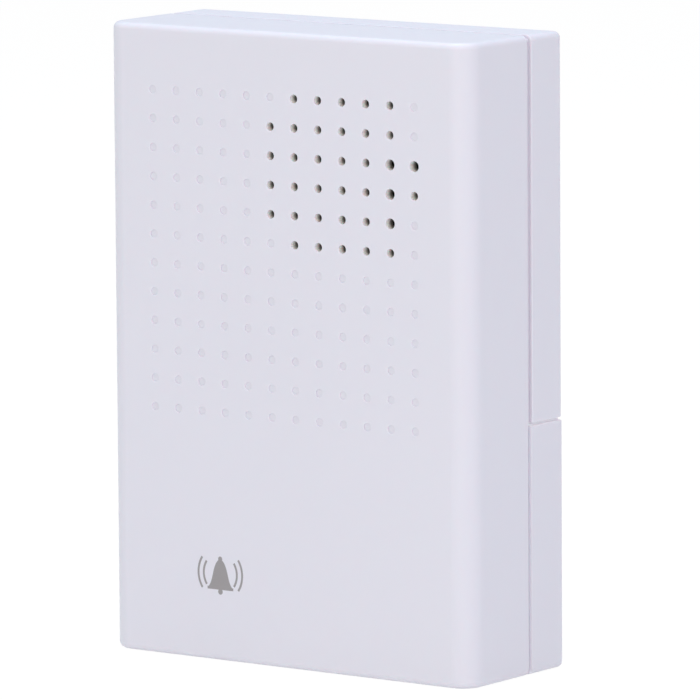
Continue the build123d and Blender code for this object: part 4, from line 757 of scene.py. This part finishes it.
def joined(count, first, second):
    """Number the groups that links between things make: everything in a group gets its lowest number."""
    label = np.arange(count)
    while True:
        a, b = label[first], label[second]
        if (a == b).all():
            return label
        low = np.minimum(a, b)
        np.minimum.at(label, a, low)
        np.minimum.at(label, b, low)
        label = label[label]
        label = label[label]


def unit(vectors):
    """Vectors of length 1, as arrays of three columns."""
    return vectors / np.maximum(np.linalg.norm(vectors, axis=-1, keepdims=True), LEAST_LENGTH)


def corner_normals(mesh):
    """Normal of each corner: sum of its fan's face normals times corner angle times squared flat width."""
    faces = len(mesh.polygons)
    corners = np.empty(3 * faces, np.int32)
    mesh.loops.foreach_get("vertex_index", corners)
    points = np.empty(3 * len(mesh.vertices))
    mesh.vertices.foreach_get("co", points)
    points = points.reshape(-1, 3)[corners].reshape(-1, 3, 3) / MM
    ahead = np.roll(points, -1, axis=1) - points
    cross = np.cross(ahead[:, 0], ahead[:, 1])
    normals = unit(cross)
    area = np.linalg.norm(cross, axis=1) / 2
    along = unit(ahead)
    turn = -(along * np.roll(along, 1, axis=1)).sum(axis=2)
    angle = np.arccos(np.clip(turn, -1, 1))

    ends = np.sort(np.stack([corners, np.roll(corners.reshape(-1, 3), -1, axis=1).ravel()]), axis=0)
    key = ends[0].astype(np.int64) * len(mesh.vertices) + ends[1]
    order = np.argsort(key, kind="stable")
    same = key[order[1:]] == key[order[:-1]]
    one, two = order[:-1][same], order[1:][same]
    agree = (normals[one // 3] * normals[two // 3]).sum(axis=1)

    level = agree > math.cos(FLAT_ANGLE)
    flat = joined(faces, one[level] // 3, two[level] // 3)
    rim = np.linalg.norm(ahead, axis=2).ravel()
    rim[one[level]] = 0
    rim[two[level]] = 0
    flat_area = np.bincount(flat, area, faces)
    flat_rim = np.bincount(flat, rim.reshape(-1, 3).sum(axis=1), faces)
    flat_width = (flat_area / np.maximum(flat_rim, LEAST_RIM))[flat]

    soft = agree > math.cos(SMOOTH_ANGLE)
    one, two = one[soft], two[soft]
    one_next, two_next = (corner - corner % 3 + (corner + 1) % 3 for corner in (one, two))
    fan = joined(3 * faces, np.concatenate([one, one_next]), np.concatenate([two_next, two]))
    weight = (angle * flat_width[:, None] ** 2).ravel()
    shared = np.repeat(normals, 3, axis=0) * weight[:, None]
    total = np.stack([np.bincount(fan, shared[:, i], 3 * faces) for i in range(3)], axis=1)
    return unit(total[fan])


print("edges that turn more than", round(math.degrees(SMOOTH_ANGLE)), "degrees stay sharp")

# %% [markdown]
# Each piece gets a copy that stands for it. The copy's points are merged first, because the normals
# need faces that know their neighbours. One copy also changes a little in shape. The loudspeaker's
# centring ring flexes with the coil on a real one and is stiff here, so its bore opens to a hair more
# than the coil, which then moves through it without touching. It could bend with the coil instead, but
# at half a millimetre of stroke the bend would never be seen.

# %% Finished copies
MERGE_REACH = 0.0005 * MM
COIL_ROOM = 0.1 * MM
coil_low, coil_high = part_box("voice_coil")
coil_axis = np.array([coil_low.x + coil_high.x, coil_low.z + coil_high.z]) / 2
coil_radius = (coil_high.x - coil_low.x) / 2


def open_bore(mesh, radius):
    """Every point nearer to the coil's axis than this moves straight out from the axis to this radius."""
    points = np.empty(3 * len(mesh.vertices))
    mesh.vertices.foreach_get("co", points)
    points = points.reshape(-1, 3)
    offset = points[:, [0, 2]] - coil_axis
    reach = np.linalg.norm(offset, axis=1, keepdims=True)
    points[:, [0, 2]] = coil_axis + offset * np.maximum(reach, radius) / reach
    mesh.vertices.foreach_set("co", points.ravel())


def smooth_copy(name, material):
    """Merged copy of a node that stands for it, with its own normals."""
    source = nodes[name]
    mesh = source.data.copy()
    shape = bmesh.new()
    shape.from_mesh(mesh)
    bmesh.ops.remove_doubles(shape, verts=shape.verts, dist=MERGE_REACH)
    shape.to_mesh(mesh)
    shape.free()
    if name == "speaker_spider":
        open_bore(mesh, coil_radius + COIL_ROOM)
    mesh.shade_smooth()
    mesh.normals_split_custom_set(corner_normals(mesh))
    piece = bpy.data.objects.new(name + "_finished", mesh)
    bpy.context.scene.collection.objects.link(piece)
    paint(piece, material)
    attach(piece, source["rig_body"])
    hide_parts(name)
    print(name, len(mesh.polygons), "faces")


for name in nodes:
    smooth_copy(name, nodes[name].data.materials[0])

# %% [markdown]
# The stage is a pale floor and soft light from all round, as in a light tent. The world is white and
# plain. Three large lamps share the rest: a cool one overhead, a warm one before the front at the right
# and a faintly violet one at the side. The warm one shines obliquely into the sound holes, which is why
# their left walls are light and their depths dark. A picture of a studio could light the case as well,
# but lamps can be weighed one by one, because the image of all is the sum of the images of each. The
# floor shows white to the camera and keeps part of the shadow under the case. It also glows a little,
# as paper does that is lit from below.

# %% Stage and light
FLOOR_SIZE = 6.0
FLOOR_PAPER = (0.86, 0.86, 0.86)
FLOOR_GLOW = 1.04
FLOOR_SEEN = 0.9
FLOOR_LIFT = 0.3
WORLD_LEVEL = 0.55
WHITE = (1, 1, 1, 1)
LAMPS = (
    ("tent_top", (-0.1, 0.0, 1.15), 0.9, 8.1, (0.75, 0.87, 1.0)),
    ("tent_front", (0.5, -1.15, 0.55), 1.0, 5.0, (1.0, 0.92, 0.74)),
    ("tent_side", (1.15, -0.55, 0.45), 0.9, 2.5, (0.87, 0.82, 1.0)),
)


def make_floor():
    """Pale floor that camera rays see nearly white."""
    bpy.ops.mesh.primitive_plane_add(size=FLOOR_SIZE)
    floor = bpy.context.object
    floor.name = "floor"
    finish = Finish("floor_paper", FLOOR_PAPER, roughness=0.9)
    finish.set("Specular IOR Level", 0.0)
    glow = finish.node("ShaderNodeEmission", None, {"Color": WHITE, "Strength": FLOOR_GLOW})
    path = finish.node("ShaderNodeLightPath")
    seen = finish.math("MAXIMUM", path.outputs["Is Camera Ray"], path.outputs["Is Glossy Ray"])
    share = finish.math("MAXIMUM", FLOOR_SEEN * seen, FLOOR_LIFT)
    both = finish.node(
        "ShaderNodeMixShader", None, {0: share, 1: finish.shader.outputs[0], 2: glow.outputs[0]}
    )
    finish.tree.links.new(both.outputs[0], finish.tree.nodes["Material Output"].inputs["Surface"])
    paint(floor, finish.material)


def soft_lamp(name, place, size, power, colour):
    """Square area lamp aimed at the middle of the case."""
    lamp = bpy.data.lights.new(name, "AREA")
    lamp.size = size
    lamp.energy = power
    lamp.color = colour
    holder = bpy.data.objects.new(name, lamp)
    turn = (middle - Vector(place)).to_track_quat("-Z", "Y")
    holder.matrix_world = Matrix.Translation(place) @ turn.to_matrix().to_4x4()
    bpy.context.scene.collection.objects.link(holder)


def white_world():
    """Plain white world: full strength where the camera sees it, less where it lights the case."""
    world = bpy.data.worlds.new("tent")
    world.use_nodes = True
    tree = world.node_tree
    sky = tree.nodes["Background"]
    sky.inputs["Color"].default_value = WHITE
    path = tree.nodes.new("ShaderNodeLightPath")
    level = tree.nodes.new("ShaderNodeMath")
    level.operation = "MAXIMUM"
    level.inputs[1].default_value = WORLD_LEVEL
    tree.links.new(path.outputs["Is Camera Ray"], level.inputs[0])
    tree.links.new(level.outputs[0], sky.inputs["Strength"])
    return world


make_floor()
for lamp in LAMPS:
    soft_lamp(*lamp)
bpy.context.scene.world = white_world()
bpy.context.scene.view_settings.view_transform = "Standard"
print(len(LAMPS), "lamps, a floor and a white world")
